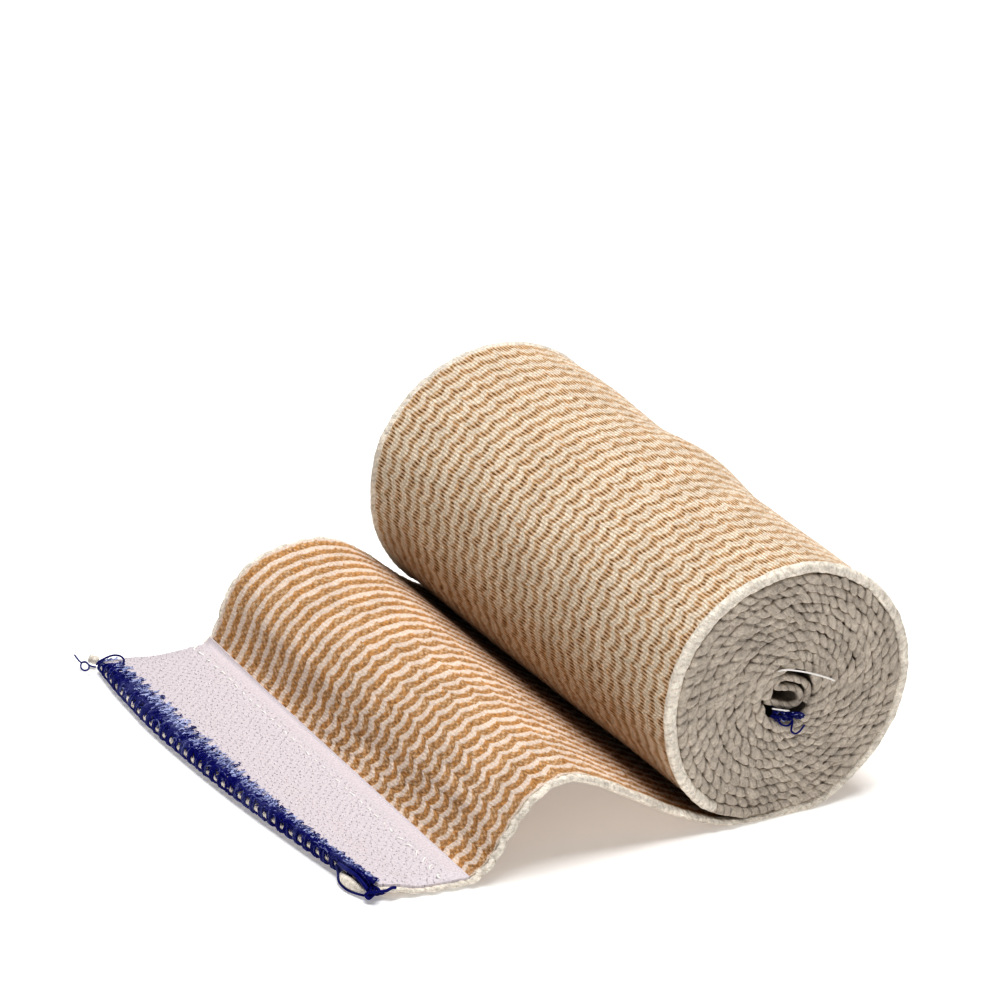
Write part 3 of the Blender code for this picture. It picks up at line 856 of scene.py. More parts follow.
def rope_material(name, light, dark, notch, line):
    """The corded selvedge: fluffy lumps with painted shade in the notches between them and in the
    grooves between strands, finely ribbed.
    """
    material, tree, place, fibre, mottle = start_finish(name)
    weave, u, _ = weave_map(tree)
    each = woven_noise(tree, weave, (1.1, 3.0), 1.0, 3.0, 0.65)
    tufts = add_noise(tree, place, 900.0, 2.0, 0.65)
    strand, lump = (
        add_math(tree, "ABSOLUTE", add_wave(tree, "SINE", value, size)) for value, size in (
            (plus(tree, u, times(tree, each, 0.9)), 3.0 * math.pi), (u, math.pi)))
    # Painted shade: darker in the notches between lumps and in the grooves between strands.
    valley = times(tree, add_range(tree, lump, 0.0, 0.55, notch, 0.0),
                   add_range(tree, each, 0.36, 0.6))
    notch_shade = add_math(tree, "ADD", valley, add_range(tree, strand, 0.0, 0.5, line, 0.0), clamp=True)
    colour = shaded(tree, add_mix(tree, notch_shade, light, dark), spread(tree, mottle, 0.9, 1.07),
                    spread(tree, fibre, 0.82, 1.12), spread(tree, tufts, 0.86, 1.1))
    height = plus(tree, times(tree, strand, 0.5), times(tree, tufts, 2.2))
    twist = add_bump(tree, height, 0.6, 0.2 * MM)
    normal = add_bump(tree, fibre, 1.0, 0.2 * MM, twist)
    return end_finish(material, colour, spread(tree, fibre, 0.85, 0.97), normal, 0.15)


def thread_material(name, dark, light, roughness=0.6):
    """Textured thread whose tint runs along the second weave coordinate."""
    material, tree, _, fibre, mottle = start_finish(name)
    _, u, v = weave_map(tree)
    tint = add_math(tree, "ADD", v, spread(tree, mottle, -0.08, 0.08), clamp=True)
    height = plus(tree, times(tree, add_wave(tree, "SINE", u, 14.0), 0.3), fibre)
    return end_finish(material, add_mix(tree, tint, dark, light),
                      spread(tree, fibre, roughness - 0.1, roughness + 0.1),
                      add_bump(tree, height, 0.5, 0.05 * MM), 0.2)


def tape_material(name, colour, pit):
    """The closure strip's ground: fine speckle with painted glints, staggered pits painted dark as
    the hooks' shadows, and a ribbed inner border.
    """
    material, tree, _, fibre, _ = start_finish(name)
    weave, u, v = weave_map(tree)
    field = add_range(tree, u, 3.0, 3.6)
    slanted = [add_wave(tree, "COSINE", plus(tree, u, times(tree, v, way)), FULL_TURN / 1.75)
               for way in (1.0, -1.0)]
    stray = woven_noise(tree, weave, (1.3, 1.3), 1.0, 2.0, 0.6)
    lattice = plus(tree, *slanted, add_stray(tree, stray, 1.7))
    # The staggered dots dip in the bump and are painted dark as the hooks' shadows.
    shadowed_pits = times(tree, add_range(tree, lattice, 1.55, 2.0), field)
    ribs = times(tree, add_wave(tree, "COSINE", v, FULL_TURN / 0.46), minus(tree, 1.0, field))
    fine, glint = (woven_noise(tree, weave, (size, size), 1.0, 1.0, 0.5) for size in (2.6, 2.1))
    # glint adds painted glints, bright specks for the hooks' sparkle.
    speckle = plus(tree, fine, times(tree, add_range(tree, glint, 0.62, 0.7), 0.35))
    ground = shaded(tree, colour, spread(tree, speckle, 0.9, 1.08),
                    add_range(tree, ribs, -1.0, 1.0, 0.92, 1.03))
    height = minus(tree, plus(tree, speckle, times(tree, ribs, 0.2)), shadowed_pits)
    normal = add_bump(tree, fibre, 0.4, 0.05 * MM, add_bump(tree, height, 0.5, 0.12 * MM))
    return end_finish(material, add_mix(tree, shadowed_pits, ground, pit), spread(tree, fibre, 0.5, 0.7),
                      normal)


def plain_material(name, colour, roughness, mottling=0.04):
    """A quiet finish with a little mottling and fine relief."""
    material, tree, _, fibre, mottle = start_finish(name)
    return end_finish(
        material, shaded(tree, colour, spread(tree, mottle, 1.0 - mottling, 1.0 + mottling)),
        spread(tree, fibre, roughness - 0.05, roughness + 0.05),
        add_bump(tree, fibre, 0.3, 0.04 * MM))


def material_named(name):
    """A material of the bandage, made the first time it is asked for."""
    if name in bpy.data.materials:
        return bpy.data.materials[name]
    cloth, edge = bpy.context.scene.bandage_cloth, bpy.context.scene.bandage_edge
    cream, white, beige, tan, brown, grey, tape, thread, thread_light = (tuple(c) for c in (
        cloth.cream, cloth.white, cloth.beige, cloth.tan, cloth.brown, cloth.end_face_shaded,
        edge.tape, edge.thread, edge.thread_light))
    build, *settings = {
        "crepe_outer_face": (outer_face_material, cream, beige, tan, brown),
        "crepe_inner_face": (inner_face_material, cream, tan, brown),
        # selvedge_cotton: the white selvedge yarn, with painted shade in beige in its notches and
        # strand grooves.
        "selvedge_cotton": (rope_material, white, tone(beige, 0.8), 0.4, 0.1),
        # wound_selvedge: the selvedge yarn in the end faces' painted shade, with painted shade in
        # its notches. wound_shadow: painted shade, darker still, for the turns inside.
        "wound_selvedge": (rope_material, grey, blend(grey, 0.3, brown, 0.35), 0.75, 0.06),
        "wound_shadow": (plain_material, tone(grey, 0.4), 0.95),
        # hook_tape: the tape at 0.55 is the painted shadow of the hooks in its dots.
        "hook_tape": (tape_material, tape, tone(tape, 0.55)),
        "hook_nylon": (plain_material, paint(240, 236, 240), 0.35, 0.02),
        "stitch_thread": (thread_material, thread, thread_light),
        "white_thread": (thread_material, paint(225, 215, 205), paint(250, 248, 245), 0.55),
    }[name]
    return build(name, *settings)


# ---------------------------------------------------------------- the wound turns

def stripe_wobble(repeat, u, v, size, seed):
    """How far the stripes stray sideways: scallops in step with the weave, and a slow drift."""
    drift = smooth_noise(u, v, 55.0 * MM, 16.0 * MM, seed) * 0.3
    swing = 0.9 + 0.3 * smooth_noise(u, v, 9.0 * MM, 7.0 * MM, seed + 1)
    slow = smooth_noise(u, v, 16.0 * MM, 22.0 * MM, seed + 2) * 0.45 * MM
    slow = slow + smooth_noise(u, v, 1.3 * MM, 2.4 * MM, seed + 3) * 0.14 * MM
    return size * swing * scallop(repeat + drift) + slow


class BANDAGE_OT_wound_turns(bpy.types.Operator):
    """Build the outer turn of woven cloth and the turns inside it."""
    bl_idname = "bandage.wound_turns"
    bl_label = "Wound turns"

    def execute(self, context):
        outer = self.outer_turn(context.scene.bandage_cloth)
        layers = self.inner_turns()
        for piece, slot in ((outer, "cloth_outer_face"), (layers, "cloth_edge")):
            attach(piece, "root")
            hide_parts("roll")
        return {"FINISHED"}

    def outer_turn(self, cloth):
        """The outermost turn from where it leaves the surface to where it slips under itself."""
        fine = np.linspace(0.0, OUTER_TURN_END, OUTER_TURN_STEPS)
        length = path_length(spiral_points(fine, 0.0))
        rows = round(length[-1] / cloth.rib_pitch) * ROWS_PER_RIB + 1
        columns = cloth.stripe_count * COLUMNS_PER_STRIPE_ROLL + 1
        u, turns = resample(length, fine[:, None], rows)
        u = u[:, None]
        inside = HALF_WIDTH - cloth.selvedge_width * 0.75
        v = (2.0 * spread_stripes(np.linspace(0.0, 1.0, columns)) - 1.0)[None, :] * inside
        fade = np.clip((inside - np.abs(v)) / STRIPE_FADE, 0.0, 1.0)
        rib = np.arange(rows)[:, None] / ROWS_PER_RIB
        stripe = np.arange(columns)[None, :] / COLUMNS_PER_STRIPE_ROLL
        y = v + stripe_wobble(rib / RIBS_PER_REPEAT, u, v, 0.62 * MM, 11) * fade
        tan = np.clip(1.6 - 5.0 * np.abs(stripe % 1.0 - 0.5), 0.0, 1.0)
        height = np.cos(FULL_TURN * rib) * (0.045 + 0.035 * tan) - 0.05 * tan
        height = height + 0.035 * smooth_noise(rib, stripe, 1.0, 0.33, 21)
        height = height + 0.12 * smooth_noise(u, v, 11.0 * MM, 13.0 * MM, 19)
        turns = turns + 0.0009 * smooth_noise(u, v, 9.0 * MM, 7.0 * MM, 17)
        base = spiral_points(turns, y, OUTER_FACE_DEPTH)
        away = (base - (ROLL_AXIS_X, 0.0, ROLL_AXIS_Z)) * (1.0, 0.0, 1.0)
        top = base + grid_normals(base, away) * (height * MM)[..., None]
        top[..., 2] = np.maximum(top[..., 2], 0.0)
        uv = np.stack(np.broadcast_arrays(rib, stripe), axis=-1)
        under = spiral_points(turns[::ROWS_PER_RIB, ::COLUMNS_PER_STRIPE_ROLL],
                              v[:, ::COLUMNS_PER_STRIPE_ROLL], OUTER_BACK_DEPTH)
        return woven_sheet("outer_turn", top, uv, ROWS_PER_RIB, COLUMNS_PER_STRIPE_ROLL, under,
                           ("crepe_outer_face", "crepe_inner_face", "selvedge_cotton"))

    def inner_turns(self):
        """The turns inside the outer one, a closed strip painted dark as shade, which shows
        between the selvedges.
        """
        steps = round((TURNS - 1.0) * INNER_STEPS_PER_TURN)
        turns = np.linspace(1.0, TURNS, steps)[None, :]
        places = np.array([-1.0, -0.8, -0.5, -0.3, -0.12, 0.06, 0.2, 0.33, 0.55, 0.77, 1.0])
        y = places[:, None] * (HALF_WIDTH - INNER_TURNS_INSET)
        outer = spiral_points(turns, y, INNER_FACE_DEPTH)
        inner = spiral_points(turns, y, LAYER_PITCH - INNER_TURNS_GAP)
        return flat_tube("inner_turns", np.hstack([outer, inner[:, ::-1]]), "wound_shadow")


# ---------------------------------------------------------------- the selvedges

def rope_mesh(name, path, seed, finishes):
    """A corded edge along a path, its section rounded and swollen into slanted lumps.

    The path holds columns: centre (3), outward (3), sideways (3), half thickness, half width, the
    lumps' length, their depth, and the material's number.
    """
    lump_length = path[:, 11]
    steps = np.diff(path_length(path[:, :3]))
    lumps_along = np.cumsum(2.0 * steps / (lump_length[1:] + lump_length[:-1]))
    lumps_along = np.concatenate([[0.0], lumps_along])
    count = round(lumps_along[-1]) * ROPE_RINGS_PER_LUMP + 1
    even, rows = resample(lumps_along, path, count)
    centre, outward, sideways = rows[:, :3], unit(rows[:, 3:6]), unit(rows[:, 6:9])
    half_out, half_side, depth, kind = (rows[:, i:i + 1] for i in (9, 10, 12, 13))
    turn = np.arange(ROPE_SIDES) * FULL_TURN / ROPE_SIDES
    stretch = smooth_noise(even, 0.0, 1.7, 1.0, seed) * 0.35
    lumps = (even + stretch)[:, None] + (0.4 * np.cos(turn) + 0.15 * np.sin(turn))[None, :]
    share = lumps % 1.0
    shape = np.sqrt(np.clip(4.0 * share * (1.0 - share), 0.0, 1.0))
    sizes = np.random.default_rng(seed).uniform(-1.0, 1.0, (LUMP_SIZES, 4))
    number = np.floor(lumps).astype(int) % LUMP_SIZES
    meeting = sizes[(number + (share > 0.5)) % LUMP_SIZES, 1]
    swell = 1.0 + depth * ((1.0 + 0.5 * meeting) * (shape - 0.8) + 0.3 * sizes[number, 0])
    sway = smooth_noise(even, 7.0, 1.3, 1.0, seed + 3)[:, None]
    power = 0.8 + 0.2 * kind
    high, wide = (np.sign(wave) * np.abs(wave) ** power for wave in (np.cos(turn), np.sin(turn)))
    lift = depth * 0.45 * shape * sizes[number, 2]
    jut = depth * 0.5 * shape * sizes[number, 3]
    rise = half_out * (high * swell + lift)
    reach = half_side * (wide * swell + jut) + 0.13 * MM * sway
    ring = outward[:, None] * rise[..., None] + sideways[:, None] * reach[..., None]
    points = centre[:, None] + ring
    points[..., 2] = np.maximum(points[..., 2], 0.0)
    faces = grid_quads(count, ROPE_SIDES, closed=True)
    kinds = np.repeat((kind[:-1, 0] > 0.5).astype(int), ROPE_SIDES).tolist()
    for first in (0, (count - 1) * ROPE_SIDES):
        faces.append(list(range(first, first + ROPE_SIDES)))
    kinds += [kinds[0], kinds[-1]]
    uv = np.stack(np.broadcast_arrays(lumps, turn / FULL_TURN), axis=-1)
    materials = [material_named(finish) for finish in finishes]
    return finish_mesh(name, points, faces, uv, materials, kinds)


def rope_path(centre, outward, side, *columns):
    """The table that rope_mesh reads; a column given as one number holds for the whole path."""
    sideways = np.tile((0.0, side, 0.0), (len(centre), 1))
    columns = [np.broadcast_to(column, len(centre))[:, None] for column in columns]
    return np.hstack([centre, outward, sideways] + columns)


class BANDAGE_OT_selvedges(bpy.types.Operator):
    """Build the corded selvedge along each edge of the cloth, from the core to the free edge."""
    bl_idname = "bandage.selvedges"
    bl_label = "Selvedges"

    def execute(self, context):
        cloth = context.scene.bandage_cloth
        for side, name, seed in ((-1.0, "selvedge_near", 41), (1.0, "selvedge_far", 43)):
            piece = rope_mesh(name, self.path(side, cloth), seed,
                              ("wound_selvedge", "selvedge_cotton"))
            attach(piece, "root")
            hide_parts("roll", "loose_end")
        return {"FINISHED"}

    def path(self, side, cloth):
        """The rope's path out of the roll's end face and along the loose end."""
        half = cloth.selvedge_width / 2.0
        turns = np.linspace(TURNS, 0.0, SELVEDGE_STEPS)
        y = side * (HALF_WIDTH - end_stagger(turns) - half)
        outside = ease((1.05 - turns) / 0.1)
        spacing = np.linalg.norm(spiral_points(turns, y) - spiral_points(turns + 1.0, y), axis=-1)
        spacing = np.where(turns < TURNS - 1.0, np.clip(spacing, LAYER_PITCH, 2.4 * MM),
                           LAYER_PITCH)
        wound = spiral_points(turns, y, spacing / 2.0 - 0.2 * MM * outside)
        angle = turn_angle(turns)
        wound_out = np.stack([np.cos(angle), np.zeros_like(angle), np.sin(angle)], axis=-1)

        # The first rows of the loose end lie under the roll, where the wound part still runs.
        base, normal, thick = (part[4:, 0] for part in tail_base([max(side, 0.0), 0.5]))
        along = path_length(base)
        free = ease(along / (12.0 * MM))
        half_thick = thick * (0.5 - 0.13 * free)
        repeat = along / (RIBS_PER_REPEAT * cloth.loose_rib_pitch)
        loose = base + normal * (thick - half_thick + 0.15 * MM * free)[:, None]
        loose[:, 1] -= side * (half - free * (0.45 - 0.25 * scallop(repeat)) * MM)

        columns = (np.concatenate(pair) for pair in (
            (spacing * (0.57 + 0.02 * outside), half_thick * 1.05),
            (half * (1.1 + 0.15 * outside), half * (1.1 - 0.2 * free)),
            (cloth.wound_lump * (1.0 - 0.3 * outside), np.full(len(loose), cloth.selvedge_lump)),
            (0.46 - 0.38 * outside, 0.1 + 0.12 * free),
            (turns < 0.9, np.ones(len(loose)))))
        return rope_path(np.vstack([wound, loose]), np.vstack([wound_out, -normal]), side,
                         *columns)


# ---------------------------------------------------------------- the loose end

class BANDAGE_OT_loose_end(bpy.types.Operator):
    """Build the cloth between the roll and its free edge, lying in its hump."""
    bl_idname = "bandage.loose_end"
    bl_label = "Loose end"

    def execute(self, context):
        cloth = context.scene.bandage_cloth
        columns = cloth.stripe_count * COLUMNS_PER_STRIPE_LOOSE + 1
        inset = cloth.selvedge_width * 0.5 / CLOTH_WIDTH
        across = inset + (1.0 - 2.0 * inset) * spread_stripes(np.linspace(0.0, 1.0, columns))
        length = path_length(tail_base([0.5])[0][:, 0])[-1]
        rows = round(length / cloth.loose_rib_pitch) * ROWS_PER_RIB + 1
        base, normal, thick, along = tail_grid(across, rows)
        u, across = along[:, None], across[None, :]
        v = across * CLOTH_WIDTH
        inside = np.minimum(across - inset, 1.0 - inset - across) * CLOTH_WIDTH
        fade = np.clip(inside / STRIPE_FADE, 0.0, 1.0)
        rib = np.arange(rows)[:, None] / ROWS_PER_RIB
        stripe = np.arange(columns)[None, :] / COLUMNS_PER_STRIPE_LOOSE
        crimp = 0.75 + 0.25 * ease((u - 30.0 * MM) / (25.0 * MM))
        repeat = rib / RIBS_PER_REPEAT + 0.35 * smooth_noise(u, v, 60.0 * MM, 13.0 * MM, 27)
        calmer = 1.0 - 0.78 * ease((across - 0.4) / 0.45)
        tan = ease(1.7 - 5.0 * np.abs(stripe % 1.0 - 0.5))
        pebble = np.cos(math.pi * (rib + np.floor(stripe * PEBBLES_PER_STRIPE))) * tan
        cord = (1.0 - tan) * (0.2 + 0.06 * np.cos(FULL_TURN * rib))
        ripple = smooth_noise(u, v, 2.2 * MM, 9.0 * MM, 29) * crimp
        swellings = 0.08 * pebble + cord + 0.14 * ripple - 0.1
        top = base + normal * (thick + swellings * MM)[..., None]
        top[..., 1] += stripe_wobble(repeat, u, v, 0.6 * MM, 23) * crimp * calmer * fade
        uv = np.stack(np.broadcast_arrays(rib, stripe), axis=-1)
        step = COLUMNS_PER_STRIPE_LOOSE // 2
        under = (base + normal * 0.1 * MM)[::ROWS_PER_RIB, ::step]
        under[..., 2] = np.maximum(under[..., 2], 0.0)
        piece = woven_sheet("loose_end_cloth", top, uv, ROWS_PER_RIB, step, under,
                            ("crepe_inner_face", "crepe_outer_face", "selvedge_cotton"))
        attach(piece, "root")
        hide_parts("loose_end")
        return {"FINISHED"}


# ---------------------------------------------------------------- the closure strip

def strip_base():
    """The cloth's top under the closure strip: points, normals, and depth from its inner edge."""
    across = np.linspace(0.0, 1.0, STRIP_COLUMNS)
    base, normal, thick, along = tail_grid(across, STRIP_CLOTH_ROWS)
    surface = base + normal * thick[..., None]
    inner = ROLL_AXIS_X - STRIP_INNER_NEAR + (STRIP_INNER_NEAR - STRIP_INNER_FAR) * across
    first = np.argmax(surface[..., 0] <= inner[None, :], axis=0)[None, :]
    rows = first + np.linspace(0.0, 1.0, STRIP_ROWS)[:, None] * (len(along) - 1 - first)
    low = np.minimum(rows.astype(int), len(along) - 2)
    part = (rows - low)[..., None]
    column = np.arange(STRIP_COLUMNS)[None, :]
    points, normals = (grid[low, column] * (1.0 - part) + grid[low + 1, column] * part
                       for grid in (surface, normal))
    points[..., 1] *= 0.985 + 0.01 * (1.0 - across[None, :])
    run = np.linalg.norm(np.diff(points, axis=0), axis=-1)
    depth = np.concatenate([np.zeros((1, STRIP_COLUMNS)), np.cumsum(run, axis=0)])
    return points, unit(normals), depth


class BANDAGE_OT_closure_strip(bpy.types.Operator):
    """Build the closure strip on the loose end, its hooks and the stitches that hold it."""
    bl_idname = "bandage.closure_strip"
    bl_label = "Closure strip"

    def execute(self, context):
        points, normals, self.depth = strip_base()
        border = np.minimum(np.arange(STRIP_COLUMNS), np.arange(STRIP_COLUMNS)[::-1]) * 0.5 * MM
        inside = np.minimum(self.depth, border[None, :])
        rise = STRIP_EDGE_RISE + (STRIP_RISE - STRIP_EDGE_RISE) * ease(inside / STRIP_EDGE_SLOPE)
        rise = rise + 0.04 * MM * smooth_noise(self.depth, points[..., 1], 3.0 * MM, 4.0 * MM, 61)
        self.top = points + normals * (STRIP_LIFT + rise)[..., None]
        uv = np.stack([self.depth / MM, points[..., 1] / MM], axis=-1)
        under = (points + normals * STRIP_LIFT)[::STRIP_ROW_STEP, ::STRIP_COLUMN_STEP]
        strip = woven_sheet("closure_strip", self.top, uv, STRIP_ROW_STEP, STRIP_COLUMN_STEP,
                            under, ("hook_tape",) * 3)
        hooks = self.hooks(context.scene.bandage_edge.hook_pitch)
        stitches = self.stitches()
        for piece in (strip, hooks, stitches):
            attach(piece, "root")
            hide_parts("hook_strip")
        width = float(np.ptp(self.top[STRIP_ROWS // 2, :, 1]))
        return {"FINISHED"}

    def row_at(self, depth, column):
        """The row of the strip's grid, whole and part, at a depth from its inner edge."""
        return np.interp(depth, self.depth[:, int(column)], np.arange(STRIP_ROWS))

    def point_at(self, row, column):
        """A point of the strip's top, for whole and part rows and columns."""
        i = int(np.clip(row, 0, STRIP_ROWS - 2))
        j = int(np.clip(column, 0, STRIP_COLUMNS - 2))
        a, b = row - i, column - j
        here, after = (self.top[i, k] * (1.0 - a) + self.top[i + 1, k] * a for k in (j, j + 1))
        return here * (1.0 - b) + after * b

    def hooks(self, pitch):
        """Tiny bent nylon hooks in staggered rows over the strip, clear of its ribbed border."""
        rng = np.random.default_rng(71)
        strands = Strands()
        columns = int(HOOKS_WIDTH / pitch)
        up = np.array([0.0, 0.0, 1.0])
        for j in range(columns):
            column = (j + 0.5) * (STRIP_COLUMNS - 1) / columns
            for i in range(int((self.depth[-1, int(column)] - HOOKS_MARGIN) / pitch)):
                row = self.row_at(HOOKS_START + (i + 0.5 * (j % 2)) * pitch, column)
                foot = self.point_at(row + rng.uniform(-0.8, 0.8),
                                     column + rng.uniform(-0.8, 0.8))
                lean = rng.uniform(-0.12, 0.12, 3) * MM
                tip = foot + np.array([0.0, 0.22 * MM * (1 if i % 2 else -1), 0.0]) + lean
                path = [foot - up * 0.05 * MM, foot + up * 0.15 * MM,
                        (foot + tip) / 2 + up * 0.22 * MM, tip + up * 0.08 * MM]
                strands.add(path, 0.06 * MM, 3, rng.uniform(0.2, 1.0), taper=False)
        return strands.build("closure_hooks", "hook_nylon")

    def stitches(self):
        """White stitches beside the strip's ribbed border, loosest near its two ends."""
        strands = Strands()
        rng = np.random.default_rng(73)
        for i in range(STITCH_COUNT):
            share = (i + 0.3) / STITCH_COUNT
            end = abs(2.0 * share - 1.0) ** 3
            run = rng.uniform(0.008, 0.018)
            swing = rng.uniform(-0.7, 0.7) * (0.5 + end)
            line = []
            for t in np.linspace(0.0, 1.0, 9):
                arch = math.sin(math.pi * t)
                column = (share + t * run) * (STRIP_COLUMNS - 1)
                shift = swing * (t - 0.5) + 0.5 * end * math.sin(math.pi * t + i)
                row = self.row_at((STITCH_LINE_MM + shift) * MM, column)
                height = (-0.08 + (0.14 + 0.12 * end) * arch) * MM
                line.append(self.point_at(row, column) + np.array([0.0, 0.0, height]))
            strands.add(line, (0.14 + 0.06 * end) * MM, 6, rng.uniform(0.8, 1.0))
        return strands.build("strip_stitches", "white_thread")


# ---------------------------------------------------------------- the overlocked free edge

# The cut edge at one or more lengths along it: its place, its underside and top, and how far the
# overlock's wraps, chain and loops reach there.
EdgePlace = namedtuple("EdgePlace", "x y low top out chain fuzz")


def band_height(at, reach):
    """Height of the stitching at a distance in from the cut edge; it slopes down outside it."""
    past = np.clip(-reach / at.out, 0.0, 1.3)
    return at.top - (at.top - at.low) * 0.6 * past ** 2


class BANDAGE_OT_overlock(bpy.types.Operator):
    """Build the overlock thread round the free edge, with the loose loops at its two corners."""
    bl_idname = "bandage.overlock"
    bl_label = "Overlock"

    def execute(self, context):
        edge = context.scene.bandage_edge
        base, _, thick = tail_base(np.linspace(0.0, 1.0, FREE_EDGE_STEPS))
        self.rim = base[-1]
        self.arc = path_length(self.rim)
        self.pitch = edge.stitch_pitch
        self.stitches = range(int(self.arc[-1] / self.pitch) + 1)
        corner = ease((self.arc - self.arc[-1] + OVERLOCK_END) / OVERLOCK_END)
        self.rise = (thick[-1] + STRIP_RISE) * (1.0 - OVERLOCK_END_DROP * corner)
        threads = [self.wraps(), self.loops(edge.filaments), self.corner_threads()]
        cloth = [self.cut_edge(), self.corner_nub()]
        for piece in threads + cloth:
            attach(piece, "root")
            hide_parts("edge_stitching")
        return {"FINISHED"}

    def edge_at(self, place):
        place = np.clip(place, 0.0, self.arc[-1])
        x, y, low = (np.interp(place, self.arc, self.rim[:, i]) for i in range(3))
        top = low + np.interp(place, self.arc, self.rise)
        widths = (np.interp(place / self.arc[-1], OVERLOCK_SHARES, table) * MM
                  for table in (OVERLOCK_OUT, OVERLOCK_CHAIN, OVERLOCK_FUZZ))
        return EdgePlace(x, y, low, top, *widths)

    def loop_reach(self, place, at):
        """How far in the loops reach at a place, in waves from stitch to stitch."""
        return at.fuzz * (0.85 + 0.2 * math.sin(FULL_TURN * place / self.pitch))

    def wraps(self):
        """The thread's bands round the cut edge, the one along it, and the narrow chain on top."""
        rng = np.random.default_rng(83)
        strands = Strands()
        for k in self.stitches:
            place = (k + 0.4) * self.pitch
            for f in range(WRAPS_PER_STITCH):
                at = self.edge_at(place + (f / (WRAPS_PER_STITCH - 1.0) - 0.5) * 1.1 * MM)
                x, y, top, out, chain = at.x, at.y, at.top, at.out, at.chain
                floor = max(at.low - 0.2 * MM, 0.12 * MM)
                path = np.array([
                    (x + 2.0 * MM, y - 0.9 * MM, floor),
                    (x - out * 0.2, y - 0.6 * MM, floor),
                    (x - out * 0.9, y - 0.3 * MM, floor + 0.25 * MM),
                    (x - out, y, floor + (top - floor) * 0.4),
                    (x - out * 0.75, y + 0.2 * MM, band_height(at, -out * 0.75) + 0.2 * MM),
                    (x - out * 0.2, y + 0.35 * MM, top + 0.2 * MM),
                    (x + chain * 0.5, y + 0.5 * MM, top + 0.2 * MM),
                    (x + chain * 1.2, y + 0.6 * MM, top + 0.1 * MM),
                ])
                curve = smooth_rows(path, 3)
                curve = curve + rng.normal(0.0, 0.06 * MM, curve.shape)
                curve[:, 2] = np.maximum(curve[:, 2], 0.1 * MM)
                strands.add(curve, rng.uniform(0.1, 0.16) * MM, 4, rng.choice(NAVY_TINTS))
            for _ in range(CHAIN_STRANDS_PER_STITCH):
                start = place - rng.uniform(0.1, 0.9) * self.pitch
                run = rng.uniform(0.9, 1.5) * self.pitch
                level = rng.uniform(0.0, 1.0)
                line = []
                for t in np.linspace(0.0, 1.0, 8):
                    at, arch = self.edge_at(start + run * t), math.sin(math.pi * t)
                    width = at.out * 0.95 + at.chain * 0.5
                    reach = -at.out * 0.95 + width * (level * 0.8 + 0.25 * arch)
                    crown = (0.05 + 0.2 * arch) * MM
                    line.append((at.x + reach, at.y, band_height(at, reach) + crown))
                curve = np.array(line) + rng.normal(0.0, 0.05 * MM, (8, 3))
                strands.add(curve, rng.uniform(0.1, 0.17) * MM, 4,
                            rng.choice((0.0, 0.02, 0.06, 0.35), p=(0.45, 0.25, 0.2, 0.1)))
        at = self.edge_at(np.arange(1.0 * MM, self.arc[-1] - 1.0 * MM, 0.6 * MM))
        rim = np.stack([at.x - at.out * 1.02, at.y, np.maximum(at.low, 0.0) + 0.3 * MM], axis=-1)
        strands.add(rim, 0.15 * MM, 5, 0.0)
        return strands.build("overlock_chain", "stitch_thread")

    def loops(self, filaments):
        """The crimped loops on the strip: pale ones, navy ones like a comb's teeth, and curls."""
        rng = np.random.default_rng(87)
        strands = Strands()

        def add_crimped(curve, radii, sides, tints, narrowing=1.0):
            curve = curve + rng.normal(0.0, 1.0, curve.shape) * LOOP_CRIMP
            strands.add(curve, rng.uniform(*radii) * MM * narrowing, sides, rng.choice(tints))

        for k in self.stitches:
            for f in range(filaments):
                place = (k + rng.uniform(0.0, 1.0)) * self.pitch
                at = self.edge_at(place)
                deep = self.loop_reach(place, at)
                first, last = rng.uniform(0.0, 0.5) * deep, rng.uniform(0.7, 1.12) * deep
                lean = rng.uniform(-0.8, 1.0) * MM
                path = np.array([(at.x + first + (last - first) * t,
                                  at.y + lean * t + 0.25 * MM * math.sin(9.0 * t + f),
                                  at.top + (0.05 + rng.uniform(0.0, 0.28)) * MM)
                                 for t in (0.0, 0.2, 0.4, 0.6, 0.8, 1.0)])
                add_crimped(smooth_rows(path, 2), (0.09, 0.14), 3, (1.0, 0.85, 0.7, 0.5))
            for f in range(TEETH_PER_STITCH):
                place = (k + (f + rng.uniform(0.0, 0.8)) / TEETH_PER_STITCH) * self.pitch
                at = self.edge_at(place)
                deep = self.loop_reach(place, at)
                first, last = rng.uniform(-0.5, 0.2) * at.out, rng.uniform(0.35, 0.95) * deep
                lean = rng.uniform(-0.6, 0.7) * MM
                lift = rng.uniform(0.12, 0.3) * MM
                x, y, top, run = at.x + first, at.y, at.top, last - first
                path = np.array([
                    (x, y, band_height(at, first) + 0.15 * MM),
                    (x + run * 0.4, y + lean * 0.3 + rng.uniform(-0.2, 0.2) * MM, top + lift),
                    (x + run * 0.75, y + lean * 0.7, top + lift),
                    (x + run, y + lean, top + lift * 0.9),
                ])
                curve = smooth_rows(path, 4)
                add_crimped(curve, (0.13, 0.2), 4, NAVY_TINTS,
                            np.linspace(1.15, 0.75, len(curve)))
            for _ in range(CURLS_PER_STITCH):
                place = (k + rng.uniform(0.0, 1.0)) * self.pitch
                at = self.edge_at(place)
                deep = self.loop_reach(place, at)
                reach, size = rng.uniform(0.45, 0.98) * deep, rng.uniform(0.18, 0.4) * MM
                turn = rng.uniform(0.0, 6.28) + np.linspace(0.0, rng.uniform(2.5, 5.5), 8)
                curve = np.stack([at.x + reach + size * np.cos(turn), at.y + size * np.sin(turn),
                                  np.full(len(turn), at.top + 0.3 * MM)], axis=-1)
                add_crimped(curve, (0.07, 0.11), 4, (0.0, 0.1, 0.3, 1.0))
        return strands.build("overlock_loops", "stitch_thread")

